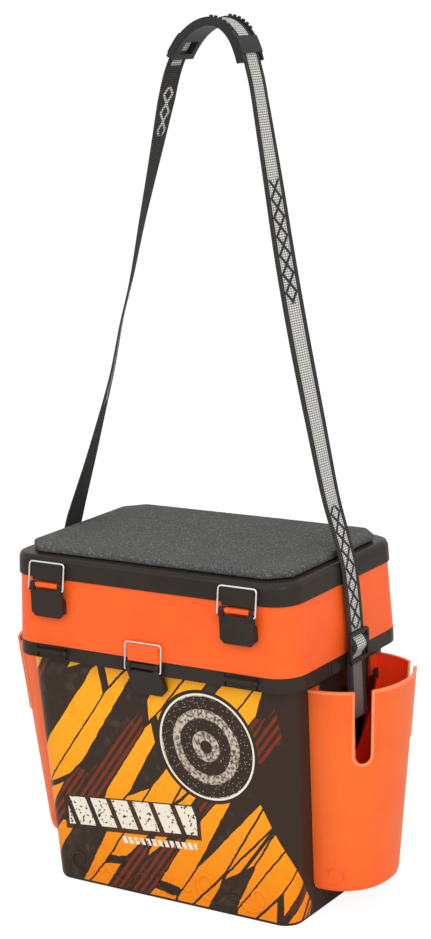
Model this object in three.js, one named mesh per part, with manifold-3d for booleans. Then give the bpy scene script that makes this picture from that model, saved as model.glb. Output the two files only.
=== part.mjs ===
// A fishing seat box: a drafted container with a hinged tray on top of it, a hinged padded lid,
// three over-centre latches with wire bails, two hang-on side pockets and a webbing carrying strap.
// Millimetres, +Z up, front towards -Y. The origin is the middle of the container's underside.
import * as THREE from "three";
import { mergeVertices } from "three/addons/utils/BufferGeometryUtils.js";
import Module from "manifold-3d";

const wasm = await Module();
wasm.setup();

const radians = THREE.MathUtils.degToRad;
const mix = THREE.MathUtils.lerp;

// Clearances
const seatGap = 0.3; // between pieces that rest on each other
const sideGap = 0.6; // between pieces that slide past each other
const overrun = 2; // how far a cutter passes the face that it cuts

// Container: half widths along X and Y at its foot and under its collar
const footHalfX = 152.6;
const footHalfY = 92.3;
const neckHalfX = 165.2;
const neckHalfY = 104.7;
const footCorner = 19.4;
const neckCorner = 26;
const footEdge = 4;
const containerWall = 2.6;
const containerFloor = 3;
const collarReachX = 10.8; // from the neck out to the collar's face
const collarReachY = 10.3;
const collarCornerGrowth = 3.8;
const collarBottom = 260;
const collarHeight = 15;
const collarWall = 2.6;
const collarTop = collarBottom + collarHeight;
const collarHalfX = neckHalfX + collarReachX;
const collarHalfY = neckHalfY + collarReachY;
const collarCorner = neckCorner + collarCornerGrowth;

// Front panel: a printed skin in a shallow recess of the container's front
const panelThickness = 0.5;
const panelSideMargin = 20;
const panelFootMargin = 9;
const panelTopMargin = 3;

// Tray: the upper section, flaring outwards on the way down
const trayHeight = 72.4;
const trayFootInX = 0.4; // in from the collar's face
const trayFootInY = 0.3;
const trayDraftX = 2.9; // what the tray narrows by from its foot to its rim
const trayDraftY = 2.7;
const trayWall = 2.6;
const trayFloor = 2.6;
const trayLipDrop = 6; // the locating lip that hangs into the container's mouth
const trayLipWall = 2.2;
const trayTongue = 6; // the tongue that stands up inside the lid's skirt
const trayBottom = collarTop + seatGap;
const trayTop = trayBottom + trayHeight;
const trayFootHalfX = collarHalfX - trayFootInX;
const trayFootHalfY = collarHalfY - trayFootInY;
const trayRimHalfX = trayFootHalfX - trayDraftX;
const trayRimHalfY = trayFootHalfY - trayDraftY;
const trayCorner = collarCorner - trayFootInX;

// Lid and seat pad
const lidOverhang = 1.5; // out past the tray's rim
const lidFlare = 0.6;
const lidHeight = 23;
const lidEdge = 6;
const lidWall = 2.5;
const padEndMargin = 11.7; // in from the lid's skirt
const padSideMargin = 12;
const padThickness = 8.7;
const padCornerCut = 20;
const lidBottom = trayTop + seatGap;
const lidTop = lidBottom + lidHeight;
const lidHalfX = trayRimHalfX + lidOverhang;
const lidHalfY = trayRimHalfY + lidOverhang;
const lidCorner = trayCorner;
const padHalfX = lidHalfX - padEndMargin;
const padHalfY = lidHalfY - padSideMargin;

// Hinges at the rear: two for the tray and two for the lid, each with a steel pin
const hingeInset = 72; // its middle, in from the collar's end
const hingeX = collarHalfX - hingeInset;
const trayKnuckleRadius = 4.2;
const lidKnuckleRadius = 3.8;
const knuckleWidth = 10;
const middleKnuckleWidth = 20;
const knuckleGap = 0.4;
const hingePinRadius = 1.6;
const hingePinGap = 0.35;
const trayHingeDrop = 2.5; // below the collar's top
const lidHingeDrop = 2.7; // below the tray's top
const webHeight = 6;

// Latches: a moulded bar with a journal at each end, a lever that clips on the journals, a wire bail
const latchInset = 57.5; // its middle, in from the collar's end
const latchStandOff = 3.7; // the journals' middle, out from the collar's face
const trayBarDrop = 5.5; // below the tray's rim
const collarBarDrop = 5.7; // below the collar's top
const barHalfWidth = 14.3;
const barHalfHeight = 2.2;
const journalRadius = 2;
const leverHalfWidth = 20.3;
const cheekRadius = 3.4;
const cheekGap = 0.5;
const leverPlate = 3;
const leverLength = 34.5;
const leverTop = 4.9;
const leverCorner = 4.6;
const leverFlangeWidth = 2.2;
const leverFlangeDepth = 4.2;
const leverFlangeStart = 11.3; // below the journals, clear of the collar
const leverFlangeSlope = 4.8;
const wireBoss = 1.2;
const clipSlot = 3;
const centreLeverTilt = 20; // degrees that the centre lever leans in over the narrower container
const bailRadius = 1;
const bailHalfWidth = 22.4;
const bailReach = 4; // how far each end of the wire goes into the lever
const bailEndOut = 3; // the wire's ends in the lever, out from the journals
const bailEndDown = 4.2;
const bailTopIn = 1.7; // the wire's cross bar, in from the journals and above them
const bailTopUp = 23.8;
const bailCorner = 4;
const bailEndCorner = 1.8;
const catchHalfWidth = 19.4;
const catchFrontIn = 0.4;
const catchBottomUp = 3.9;
const leverFront = 3.2; // the lever's face, out from the journals
const latchX = collarHalfX - latchInset;
const latchPlaneY = -collarHalfY - latchStandOff;
const trayBarZ = trayTop - trayBarDrop;
const collarBarZ = collarTop - collarBarDrop;

// Side pockets: half a superellipse in plan, hung on two hooks each
const pocketCentreY = 4;
const pocketRimDrop = 8; // below the collar
const pocketFootZ = 30;
const pocketRimHalfWidth = 71;
const pocketFootHalfWidth = 56;
const pocketRimDepth = 73.5;
const pocketFootDepth = 60;
const pocketPlanPower = 2.2;
const pocketWall = 2.4;
const pocketBead = 1;
const pocketBeadHeight = 3;
const pocketFootEdge = 8;
const pocketBackGap = 0.4;
const pocketBackCutDrop = 47; // the middle of its round end, below the rim
const slotWidth = 19.4;
const slotDepth = 80;
const slotAngle = 36; // degrees from the outward direction to the slot's outward normal
const slotReach = 14;
const slotOutShare = 0.735; // shares of the rim's depth and half width where a slot's middle lies
const slotSideShare = 0.735;
const hookInset = 10; // its middle, in from the rim's end
const hookWidth = 8;
const hookArm = 4;
const hookDrop = 26; // the arm's underside, below the pocket's rim
const hookLip = 2.4;
const hookLipHeight = 7;
const pocketLift = 7.6;
const hookStrip = 4; // between a hook's window and the opening in the pocket's back
const hookY = pocketRimHalfWidth - hookInset;
const pocketBackCutRadius = hookY - hookWidth / 2 - hookStrip;
const pocketRimZ = collarBottom - pocketRimDrop;
const pocketBackCutZ = pocketRimZ - pocketBackCutDrop;
const hookArmZ = pocketRimZ - hookDrop;

// Strap: webbing through a lug on each side, a buckle on the right leg, a pad on the shoulder
const lugReach = 15.4; // the bar's middle, out from the container's side
const lugDrop = 45; // below the pocket's rim
const lugBarRadius = 3;
const lugEarGap = 1.6;
const lugEarThickness = 3;
const lugEarHeight = 10;
const webbingWidth = 30;
const webbingThickness = 1.6;
const strapStandOff = 2; // the legs' mean place, out from the collar's end
const strapRise = 707.5; // from the lugs to the strap's highest point
const buckleOut = 6.5; // out from the legs' mean place
const buckleRise = 58; // above the lug's bar
const buckleHeight = 33;
const buckleWidth = 38;
const buckleThickness = 3.8;
const buckleBar = 4.4;
const buckleMiddleBar = 4;
const buckleMiddleThickness = 2;
const buckleSide = 3.4;
const buckleCorner = 3;
const shoulderWidth = 38;
const shoulderBase = 5;
const shoulderRailRise = 1;
const shoulderRailGap = 0.7;
const shoulderBridge = 2;
const shoulderEndShares = [0.24, 0.89]; // along the shoulder's curve
const shoulderBridgeShares = [
  [0.26, 0.38],
  [0.76, 0.85],
];
const shoulderWindowShares = [0.275, 0.355]; // an opening in the base
const shoulderWindowWidth = 23;
const toothShares = [0.585, 0.715];
const toothCount = 6;
const toothLength = 2.6;
const toothHeight = 1.8;
const leftTwist = 30; // degrees that the webbing turns, halfway up each leg
const rightTwist = 12;
const legSteps = 3; // stations for each line of a leg's table
const twistFootRise = 14; // above the lid
const twistTopDrop = 79.5; // below the strap's highest point
const shoulderTopX = 46;
const shoulderSpan = 100;
const lugZ = pocketRimZ - lugDrop;
const lugX = containerHalfX(lugZ) + lugReach;
const strapTopZ = lugZ + strapRise;
const strapHalfX = collarHalfX + strapStandOff;
const buckleX = strapHalfX + buckleOut;
const buckleBottom = lugZ + buckleRise;
const twistFootZ = lidTop + twistFootRise;
const twistTopZ = strapTopZ - twistTopDrop;

// Detail of the round shapes
const arcSteps = 6;
const rodSides = 16;
const wireSides = 8;
const bendSteps = 4;

const moulded = { roughness: 0.5, metalness: 0 };
const colours = {
  black: new THREE.MeshStandardMaterial({ color: 0x2f2c2a, ...moulded }),
  orange: new THREE.MeshStandardMaterial({ color: 0xff6a2a, ...moulded }),
  foam: new THREE.MeshStandardMaterial({ color: 0x5a5a58, roughness: 0.95 }),
  print: new THREE.MeshStandardMaterial({ color: 0xe08a1a, roughness: 0.45 }),
  steel: new THREE.MeshStandardMaterial({ color: 0xc9c9c9, roughness: 0.25, metalness: 1 }),
  webbing: new THREE.MeshStandardMaterial({ color: 0x8c8a86, roughness: 0.9 }),
};

// Solids

function solid(geometry) {
  const bare = geometry.clone();
  bare.deleteAttribute("normal");
  bare.deleteAttribute("uv");
  const merged = mergeVertices(bare, 1e-4);
  return new wasm.Manifold(
    new wasm.Mesh({
      numProp: 3,
      vertProperties: new Float32Array(merged.attributes.position.array),
      triVerts: new Uint32Array(merged.index.array),
    }),
  );
}

function join(first, ...others) {
  return others.reduce((whole, other) => whole.add(other), first);
}

function cut(body, ...cutters) {
  return cutters.reduce((rest, cutter) => rest.subtract(cutter), body);
}

function meshOf(name, body, material) {
  const made = body.getMesh();
  const geometry = new THREE.BufferGeometry();
  const places = new Float32Array(made.vertProperties);
  geometry.setAttribute("position", new THREE.BufferAttribute(places, 3));
  geometry.setIndex(new THREE.BufferAttribute(new Uint32Array(made.triVerts), 1));
  geometry.computeVertexNormals();
  const mesh = new THREE.Mesh(geometry, material);
  mesh.name = name;
  return mesh;
}

// A closed solid through rings of points that run the same way round, capped at both ends.
function loft(rings) {
  const count = rings[0].length;
  const places = rings.flat().flatMap((point) => point.toArray());
  const faces = [];
  for (let level = 0; level + 1 < rings.length; level += 1) {
    for (let i = 0; i < count; i += 1) {
      const next = (i + 1) % count;
      const low = level * count;
      const high = low + count;
      faces.push(low + i, low + next, high + next, low + i, high + next, high + i);
    }
  }
  const top = (rings.length - 1) * count;
  for (let i = 1; i + 1 < count; i += 1) {
    faces.push(0, i + 1, i, top, top + i, top + i + 1);
  }
  const geometry = new THREE.BufferGeometry();
  geometry.setAttribute("position", new THREE.Float32BufferAttribute(places, 3));
  geometry.setIndex(faces);
  return solid(geometry);
}

// A level ring with rounded corners.
function roundedRing(halfX, halfY, corner, z) {
  const ring = [];
  const middles = [
    [halfX - corner, halfY - corner],
    [corner - halfX, halfY - corner],
    [corner - halfX, corner - halfY],
    [halfX - corner, corner - halfY],
  ];
  middles.forEach(([x, y], quarter) => {
    for (let i = 0; i <= arcSteps; i += 1) {
      const angle = (Math.PI / 2) * (quarter + i / arcSteps);
      ring.push(new THREE.Vector3(x + corner * Math.cos(angle), y + corner * Math.sin(angle), z));
    }
  });
  return ring;
}

function box(x0, x1, y0, y1, z0, z1) {
  const geometry = new THREE.BoxGeometry(x1 - x0, y1 - y0, z1 - z0);
  return solid(geometry.translate((x0 + x1) / 2, (y0 + y1) / 2, (z0 + z1) / 2));
}

// A rod of the given radius whose middle line runs along X.
function rodAlongX(radius, x0, x1, y, z) {
  const geometry = new THREE.CylinderGeometry(radius, radius, x1 - x0, rodSides);
  return solid(geometry.rotateZ(Math.PI / 2).translate((x0 + x1) / 2, y, z));
}

function rodAlongY(radius, y0, y1, x, z) {
  const geometry = new THREE.CylinderGeometry(radius, radius, y1 - y0, rodSides);
  return solid(geometry.translate(x, (y0 + y1) / 2, z));
}

// An outline in the YZ plane, given as [y, z] points, stretched along X.
function prismAlongX(outline, x0, x1) {
  const shape = new THREE.Shape(outline.map(([y, z]) => new THREE.Vector2(y, z)));
  const geometry = new THREE.ExtrudeGeometry(shape, { depth: x1 - x0, bevelEnabled: false });
  geometry.applyMatrix4(
    new THREE.Matrix4().makeBasis(
      new THREE.Vector3(0, 1, 0),
      new THREE.Vector3(0, 0, 1),
      new THREE.Vector3(1, 0, 0),
    ),
  );
  return solid(geometry.translate(x0, 0, 0));
}

// An outline in the XZ plane, given as [x, z] points, stretched along Y.
function prismAlongY(outline, y0, y1) {
  const shape = new THREE.Shape(outline.map(([x, z]) => new THREE.Vector2(x, -z)));
  const geometry = new THREE.ExtrudeGeometry(shape, { depth: y1 - y0, bevelEnabled: false });
  return solid(geometry.rotateX(-Math.PI / 2).translate(0, y0, 0));
}

// A solid swept along stations, each with a centre and two directions across the path.
function sweep(stations, profile) {
  return loft(
    stations.map(({ centre, across, out }) =>
      profile.map(([a, b]) => centre.clone().addScaledVector(across, a).addScaledVector(out, b)),
    ),
  );
}

function circleProfile(radius, sides) {
  return Array.from({ length: sides }, (_, i) => {
    const angle = (2 * Math.PI * (i + 0.5)) / sides;
    return [radius * Math.cos(angle), radius * Math.sin(angle)];
  });
}

function rectangleProfile(a0, a1, b0, b1) {
  return [
    [a0, b0],
    [a1, b0],
    [a1, b1],
    [a0, b1],
  ];
}

// The points of a path with each inner corner rounded.
function roundedPath(corners, radii) {
  const path = [corners[0]];
  for (let i = 1; i + 1 < corners.length; i += 1) {
    const back = corners[i - 1].clone().sub(corners[i]).normalize();
    const ahead = corners[i + 1].clone().sub(corners[i]).normalize();
    const start = corners[i].clone().addScaledVector(back, radii[i - 1]);
    const end = corners[i].clone().addScaledVector(ahead, radii[i - 1]);
    const bend = new THREE.QuadraticBezierCurve3(start, corners[i], end);
    path.push(...bend.getPoints(bendSteps));
  }
  path.push(corners[corners.length - 1]);
  return path;
}

// Stations along points that lie in a plane with the given normal.
function stationsInPlane(points, normal) {
  return points.map((centre, i) => {
    const before = points[Math.max(i - 1, 0)];
    const after = points[Math.min(i + 1, points.length - 1)];
    const ahead = after.clone().sub(before).normalize();
    const out = ahead.clone().cross(normal).normalize();
    return { centre, across: normal.clone(), out };
  });
}

// Container

function containerHalfX(z) {
  return mix(footHalfX, neckHalfX, z / collarBottom);
}

function containerHalfY(z) {
  return mix(footHalfY, neckHalfY, z / collarBottom);
}

function containerRing(z, inset) {
  const corner = mix(footCorner, neckCorner, z / collarBottom);
  return roundedRing(containerHalfX(z) - inset, containerHalfY(z) - inset, corner - inset, z);
}

function containerShell() {
  const foot = [0, 0.5, 1].map((share) => {
    const angle = (share * Math.PI) / 2;
    return containerRing(footEdge * (1 - Math.cos(angle)), footEdge * (1 - Math.sin(angle)));
  });
  const outer = loft([...foot, containerRing(collarTop, 0)]);
  const collar = loft([
    roundedRing(collarHalfX, collarHalfY, collarCorner, collarBottom),
    roundedRing(collarHalfX, collarHalfY, collarCorner, collarTop),
  ]);
  const underCollar = cut(
    loft([
      roundedRing(
        collarHalfX - collarWall,
        collarHalfY - collarWall,
        collarCorner - collarWall,
        collarBottom - overrun,
      ),
      roundedRing(
        collarHalfX - collarWall,
        collarHalfY - collarWall,
        collarCorner - collarWall,
        collarTop - collarWall,
      ),
    ]),
    loft([containerRing(collarBottom - 2 * overrun, 0), containerRing(collarTop, 0)]),
  );
  const hollow = loft([
    containerRing(containerFloor, containerWall),
    containerRing(collarTop + overrun, containerWall),
  ]);
  return cut(join(outer, cut(collar, underCollar)), hollow);
}

// The latch bars of a face: a middle block that stands off the face and a journal at each end.
function latchBar(centreX, barZ, faceY) {
  const middle = box(
    centreX - barHalfWidth,
    centreX + barHalfWidth,
    latchPlaneY - barHalfHeight,
    faceY,
    barZ - barHalfHeight,
    barZ + barHalfHeight,
  );
  const reach = leverHalfWidth;
  return join(middle, rodAlongX(journalRadius, centreX - reach, centreX + reach, latchPlaneY, barZ));
}

function strapLug(side) {
  const wallX = containerHalfX(lugZ) - containerWall / 2;
  const earInner = webbingWidth / 2 + lugEarGap;
  const earOuter = earInner + lugEarThickness;
  const outline = [
    [side * wallX, lugZ - lugEarHeight],
    [side * (lugX + lugBarRadius), lugZ - lugBarRadius],
    [side * (lugX + lugBarRadius), lugZ + lugBarRadius],
    [side * wallX, lugZ + lugEarHeight],
  ];
  const ends = [pocketCentreY - earOuter, pocketCentreY + earOuter];
  return join(
    rodAlongY(lugBarRadius, ...ends, side * lugX, lugZ),
    prismAlongY(outline, pocketCentreY - earOuter, pocketCentreY - earInner),
    prismAlongY(outline, pocketCentreY + earInner, pocketCentreY + earOuter),
  );
}

// A hook that a pocket's back wall hangs on: an arm out of the side and a lip that stands up.
function pocketHook(side, y) {
  const armTop = hookArmZ + hookArm;
  const lipTop = armTop + hookLipHeight;
  const wallX = containerHalfX(hookArmZ) - containerWall / 2;
  const lipX = containerHalfX(lipTop) + pocketBackGap + pocketWall + sideGap;
  const outline = [
    [side * wallX, hookArmZ],
    [side * (lipX + hookLip), hookArmZ],
    [side * (lipX + hookLip), lipTop],
    [side * lipX, lipTop],
    [side * lipX, armTop],
    [side * wallX, armTop],
  ];
  return prismAlongY(outline, y - hookWidth / 2, y + hookWidth / 2);
}

// The space of the printed panel, grown by a gap on its edges and its back.
function panelBody(gap) {
  const lowZ = footEdge + panelFootMargin - gap;
  const highZ = collarBottom - panelTopMargin + gap;
  const face = (z) => -containerHalfY(z);
  const ring = (z) => {
    const halfX = containerHalfX(z) - panelSideMargin + gap;
    return [
      new THREE.Vector3(-halfX, face(z) - gap, z),
      new THREE.Vector3(halfX, face(z) - gap, z),
      new THREE.Vector3(halfX, face(z) + panelThickness + gap, z),
      new THREE.Vector3(-halfX, face(z) + panelThickness + gap, z),
    ];
  };
  return loft([ring(lowZ), ring(highZ)]);
}

function hingePlaces() {
  return [-hingeX, hingeX];
}

const trayPivotY = collarHalfY + trayKnuckleRadius + seatGap;
const trayPivotZ = collarTop - trayHingeDrop;
const lidPivotY = lidHalfY + lidKnuckleRadius + sideGap + seatGap;
const lidPivotZ = trayTop - lidHingeDrop;
const boreRadius = hingePinRadius + hingePinGap;

// The two outer knuckles of a hinge, joined to the face by webs that stay under the given height.
function outerKnuckles(centreX, pivotY, pivotZ, radius, faceY, webTop) {
  const inner = middleKnuckleWidth / 2 + knuckleGap;
  return [-1, 1].map((side) => {
    const ends = [centreX + side * inner, centreX + side * (inner + knuckleWidth)];
    const x0 = Math.min(...ends);
    const x1 = Math.max(...ends);
    return join(
      rodAlongX(radius, x0, x1, pivotY, pivotZ),
      box(x0, x1, faceY, pivotY, pivotZ - radius, webTop),
    );
  });
}

// The middle knuckle of a hinge, hung from the piece above it.
function middleKnuckle(centreX, pivotY, pivotZ, radius, faceY, undersideZ) {
  const x0 = centreX - middleKnuckleWidth / 2;
  const x1 = centreX + middleKnuckleWidth / 2;
  return join(
    rodAlongX(radius, x0, x1, pivotY, pivotZ),
    box(x0, x1, pivotY - radius, pivotY + radius, pivotZ, undersideZ + webHeight),
    box(x0, x1, faceY, pivotY, undersideZ, undersideZ + webHeight),
  );
}

function hingeBore(pivotY, pivotZ) {
  const reach = middleKnuckleWidth / 2 + knuckleGap + knuckleWidth + overrun;
  return hingePlaces().map((x) => rodAlongX(boreRadius, x - reach, x + reach, pivotY, pivotZ));
}

function hingePin(name, centreX, pivotY, pivotZ) {
  const reach = middleKnuckleWidth / 2 + knuckleGap + knuckleWidth;
  const body = rodAlongX(hingePinRadius, centreX - reach, centreX + reach, pivotY, pivotZ);
  return meshOf(name, body, colours.steel);
}

function container() {
  const face = collarHalfY - collarWall / 2;
  const knuckles = hingePlaces().flatMap((x) =>
    outerKnuckles(x, trayPivotY, trayPivotZ, trayKnuckleRadius, face, collarTop - seatGap),
  );
  const bars = [-latchX, 0, latchX].map((x) => latchBar(x, collarBarZ, -face));
  const hooks = [-1, 1].flatMap((side) =>
    [-hookY, hookY].map((y) => pocketHook(side, pocketCentreY + y)),
  );
  const body = join(containerShell(), ...bars, ...knuckles, ...hooks, strapLug(-1), strapLug(1));
  const bores = hingeBore(trayPivotY, trayPivotZ);
  return meshOf("container", cut(body, panelBody(seatGap), ...bores), colours.black);
}

function frontPanel() {
  return meshOf("front_panel", panelBody(0), colours.print);
}

// Tray

function trayFaceY(z) {
  return mix(trayFootHalfY, trayRimHalfY, (z - trayBottom) / trayHeight);
}

function catchBlock(centreX, barZ, faceY, stepZ, stepFaceY) {
  const front = latchPlaneY + catchFrontIn;
  const bottom = barZ + catchBottomUp;
  const top = barZ + bailTopUp - bailRadius - seatGap;
  const x0 = centreX - catchHalfWidth;
  const x1 = centreX + catchHalfWidth;
  return join(
    box(x0, x1, front, faceY, stepZ, top),
    box(x0, x1, front, stepFaceY, bottom, stepZ + overrun),
  );
}

function tray() {
  const outer = loft([
    roundedRing(trayFootHalfX, trayFootHalfY, trayCorner, trayBottom),
    roundedRing(trayRimHalfX, trayRimHalfY, trayCorner, trayTop),
  ]);
  const tongueHalfX = lidHalfX - lidFlare - lidWall - sideGap;
  const tongueHalfY = lidHalfY - lidFlare - lidWall - sideGap;
  const tongueCorner = lidCorner - lidFlare - lidWall - sideGap;
  const tongue = loft([
    roundedRing(tongueHalfX, tongueHalfY, tongueCorner, trayTop - overrun),
    roundedRing(tongueHalfX, tongueHalfY, tongueCorner, trayTop + trayTongue),
  ]);
  const lipHalfX = neckHalfX - containerWall - sideGap;
  const lipHalfY = neckHalfY - containerWall - sideGap;
  const lipCorner = neckCorner - containerWall - sideGap;
  const lip = cut(
    loft([
      roundedRing(lipHalfX, lipHalfY, lipCorner, trayBottom - trayLipDrop),
      roundedRing(lipHalfX, lipHalfY, lipCorner, trayBottom + trayFloor / 2),
    ]),
    loft([
      roundedRing(
        lipHalfX - trayLipWall,
        lipHalfY - trayLipWall,
        lipCorner - trayLipWall,
        trayBottom - trayLipDrop - overrun,
      ),
      roundedRing(lipHalfX - trayLipWall, lipHalfY - trayLipWall, lipCorner - trayLipWall, trayBottom),
    ]),
  );
  const hollowTop = trayTop + trayTongue + overrun;
  const hollow = loft([
    roundedRing(
      trayFootHalfX - trayWall,
      trayFootHalfY - trayWall,
      trayCorner - trayWall,
      trayBottom + trayFloor,
    ),
    roundedRing(tongueHalfX - trayWall, tongueHalfY - trayWall, tongueCorner - trayWall, trayTop),
    roundedRing(tongueHalfX - trayWall, tongueHalfY - trayWall, tongueCorner - trayWall, hollowTop),
  ]);
  const face = -trayFaceY(trayBarZ) + trayWall / 2;
  const bars = [-latchX, latchX].map((x) => latchBar(x, trayBarZ, face));
  const centreCatch = catchBlock(
    0,
    collarBarZ,
    -trayFaceY(trayBottom) + trayWall / 2,
    trayBottom,
    -collarHalfY - seatGap,
  );
  const trayKnuckles = hingePlaces().map((x) =>
    middleKnuckle(
      x,
      trayPivotY,
      trayPivotZ,
      trayKnuckleRadius,
      trayFaceY(trayBottom + webHeight) - trayWall / 2,
      trayBottom,
    ),
  );
  const lidKnuckles = hingePlaces().flatMap((x) =>
    outerKnuckles(
      x,
      lidPivotY,
      lidPivotZ,
      lidKnuckleRadius,
      trayRimHalfY - trayWall / 2,
      trayTop - sideGap,
    ),
  );
  const shell = cut(join(outer, tongue), hollow);
  const body = join(shell, lip, centreCatch, ...bars, ...trayKnuckles, ...lidKnuckles);
  const bores = [...hingeBore(trayPivotY, trayPivotZ), ...hingeBore(lidPivotY, lidPivotZ)];
  return meshOf("tray", cut(body, ...bores), colours.orange);
}

// Lid and seat pad

function lid() {
  const skirtTop = lidTop - lidEdge;
  const halfX = lidHalfX - lidFlare;
  const halfY = lidHalfY - lidFlare;
  const shoulder = [0, 0.5, 1].map((share) => {
    const inset = lidEdge * (1 - Math.cos((share * Math.PI) / 2));
    const z = skirtTop + lidEdge * Math.sin((share * Math.PI) / 2);
    return roundedRing(halfX - inset, halfY - inset, lidCorner - inset, z);
  });
  const outer = loft([roundedRing(lidHalfX, lidHalfY, lidCorner, lidBottom), ...shoulder]);
  const hollow = loft([
    roundedRing(halfX - lidWall, halfY - lidWall, lidCorner - lidWall - lidFlare, lidBottom - overrun),
    roundedRing(halfX - lidWall, halfY - lidWall, lidCorner - lidWall - lidFlare, skirtTop - lidWall),
    roundedRing(
      halfX - lidWall - lidEdge / 2,
      halfY - lidWall - lidEdge / 2,
      lidCorner - lidWall - lidEdge / 2,
      lidTop - lidWall,
    ),
  ]);
  const stepFace = -trayFaceY(trayTop) - sideGap;
  const catches = [-latchX, latchX].map((x) =>
    catchBlock(x, trayBarZ, -halfY + lidWall / 2, lidBottom, stepFace),
  );
  const knuckles = hingePlaces().map((x) =>
    middleKnuckle(x, lidPivotY, lidPivotZ, lidKnuckleRadius, halfY - lidWall / 2, lidBottom),
  );
  const body = join(cut(outer, hollow), ...catches, ...knuckles);
  return meshOf("lid", cut(body, ...hingeBore(lidPivotY, lidPivotZ)), colours.black);
}

function seatPad() {
  const shape = new THREE.Shape();
  shape.moveTo(padHalfX, padCornerCut - padHalfY);
  shape.lineTo(padHalfX, padHalfY - padCornerCut);
  shape.lineTo(padHalfX - padCornerCut, padHalfY);
  shape.lineTo(padCornerCut - padHalfX, padHalfY);
  shape.lineTo(-padHalfX, padHalfY - padCornerCut);
  shape.lineTo(-padHalfX, padCornerCut - padHalfY);
  shape.lineTo(padCornerCut - padHalfX, -padHalfY);
  shape.lineTo(padHalfX - padCornerCut, -padHalfY);
  shape.closePath();
  const geometry = new THREE.ExtrudeGeometry(shape, { depth: padThickness, bevelEnabled: false });
  return meshOf("seat_pad", solid(geometry.translate(0, 0, lidTop + seatGap)), colours.foam);
}

// Latches

// A lever about its journals, hanging straight down, with its front towards -Y.
function leverBody() {
  const bore = journalRadius + seatGap;
  const wireBore = bailRadius + seatGap;
  const front = -leverFront;
  const back = front + leverPlate;
  const outline = [
    [-leverHalfWidth, -leverTop],
    [-leverHalfWidth, leverCorner - leverLength],
    [leverCorner - leverHalfWidth, -leverLength],
    [leverHalfWidth - leverCorner, -leverLength],
    [leverHalfWidth, leverCorner - leverLength],
    [leverHalfWidth, -leverTop],
  ];
  const plate = prismAlongY(outline, front, back);
  const flange = [
    [front, -leverTop],
    [front, leverCorner - leverLength],
    [back + leverFlangeDepth, leverCorner - leverLength],
    [back + leverFlangeDepth, -leverFlangeStart - leverFlangeSlope],
    [back, -leverFlangeStart],
    [back, -leverTop],
  ];
  const cheekIn = barHalfWidth + cheekGap;
  const pieces = [-1, 1].flatMap((side) => {
    const cheek = [side * cheekIn, side * leverHalfWidth].sort((a, b) => a - b);
    const rim = [side * (leverHalfWidth - leverFlangeWidth), side * leverHalfWidth].sort((a, b) => a - b);
    return [
      rodAlongX(cheekRadius, ...cheek, 0, 0),
      prismAlongX(
        [
          [front, 0],
          [front, -leverTop - overrun],
          [back, -leverTop - overrun],
          [back, -bailEndDown],
          [0, -cheekRadius],
        ],
        ...cheek,
      ),
      rodAlongX(wireBore + wireBoss, ...cheek, -bailEndOut, -bailEndDown),
      prismAlongX(flange, ...rim),
    ];
  });
  const reach = leverHalfWidth + overrun;
  const cutters = [
    rodAlongX(bore, -reach, reach, 0, 0),
    box(-reach, reach, 0, cheekRadius + overrun, -clipSlot / 2, clipSlot / 2),
    ...[-1, 1].map((side) => {
      const ends = [side * (leverHalfWidth - bailReach - seatGap), side * reach].sort((a, b) => a - b);
      return rodAlongX(wireBore, ...ends, -bailEndOut, -bailEndDown);
    }),
  ];
  return cut(join(plate, ...pieces), ...cutters);
}

// A wire bail about the same journals: ends in the lever's cheeks, legs up, a cross bar on the catch.
function bailBody(tilt) {
  const turn = radians(tilt);
  const endY = -bailEndOut * Math.cos(turn) + bailEndDown * Math.sin(turn);
  const endZ = -bailEndOut * Math.sin(turn) - bailEndDown * Math.cos(turn);
  const stub = leverHalfWidth - bailReach;
  const corners = [
    new THREE.Vector3(-stub, endY, endZ),
    new THREE.Vector3(-bailHalfWidth, endY, endZ),
    new THREE.Vector3(-bailHalfWidth, bailTopIn, bailTopUp),
    new THREE.Vector3(bailHalfWidth, bailTopIn, bailTopUp),
    new THREE.Vector3(bailHalfWidth, endY, endZ),
    new THREE.Vector3(stub, endY, endZ),
  ];
  const normal = new THREE.Vector3(0, endZ - bailTopUp, bailTopIn - endY).normalize();
  const path = roundedPath(corners, [bailEndCorner, bailCorner, bailCorner, bailEndCorner]);
  return sweep(stationsInPlane(path, normal), circleProfile(bailRadius, wireSides));
}

function latch(name, centreX, barZ, tilt) {
  const lever = meshOf(`${name}_latch_lever`, leverBody(), colours.black);
  lever.rotation.x = radians(tilt);
  const bail = meshOf(`${name}_latch_bail`, bailBody(tilt), colours.steel);
  const group = new THREE.Group();
  group.position.set(centreX, latchPlaneY, barZ);
  group.add(lever, bail);
  return group;
}

// Side pockets

// The inner face of a pocket's back wall is parallel to the container's drafted side.
function pocketRing(side, z, inset) {
  const share = (z - pocketFootZ) / (pocketRimZ - pocketFootZ);
  const back = containerHalfX(z) + pocketBackGap + inset;
  const halfWidth = mix(pocketFootHalfWidth, pocketRimHalfWidth, share) - inset;
  const depth = mix(pocketFootDepth, pocketRimDepth, share) - 2 * inset;
  const steps = 5 * arcSteps;
  const ring = [];
  for (let i = 0; i <= steps; i += 1) {
    const angle = Math.PI * (i / steps - 0.5);
    const outShare = Math.cos(angle) ** (2 / pocketPlanPower);
    const sideShare = Math.sign(angle) * Math.abs(Math.sin(angle)) ** (2 / pocketPlanPower);
    const x = back + depth * (i % steps ? outShare : 0);
    ring.push(new THREE.Vector3(side * x, pocketCentreY + halfWidth * sideShare, z));
  }
  return side > 0 ? ring : ring.reverse();
}

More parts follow.
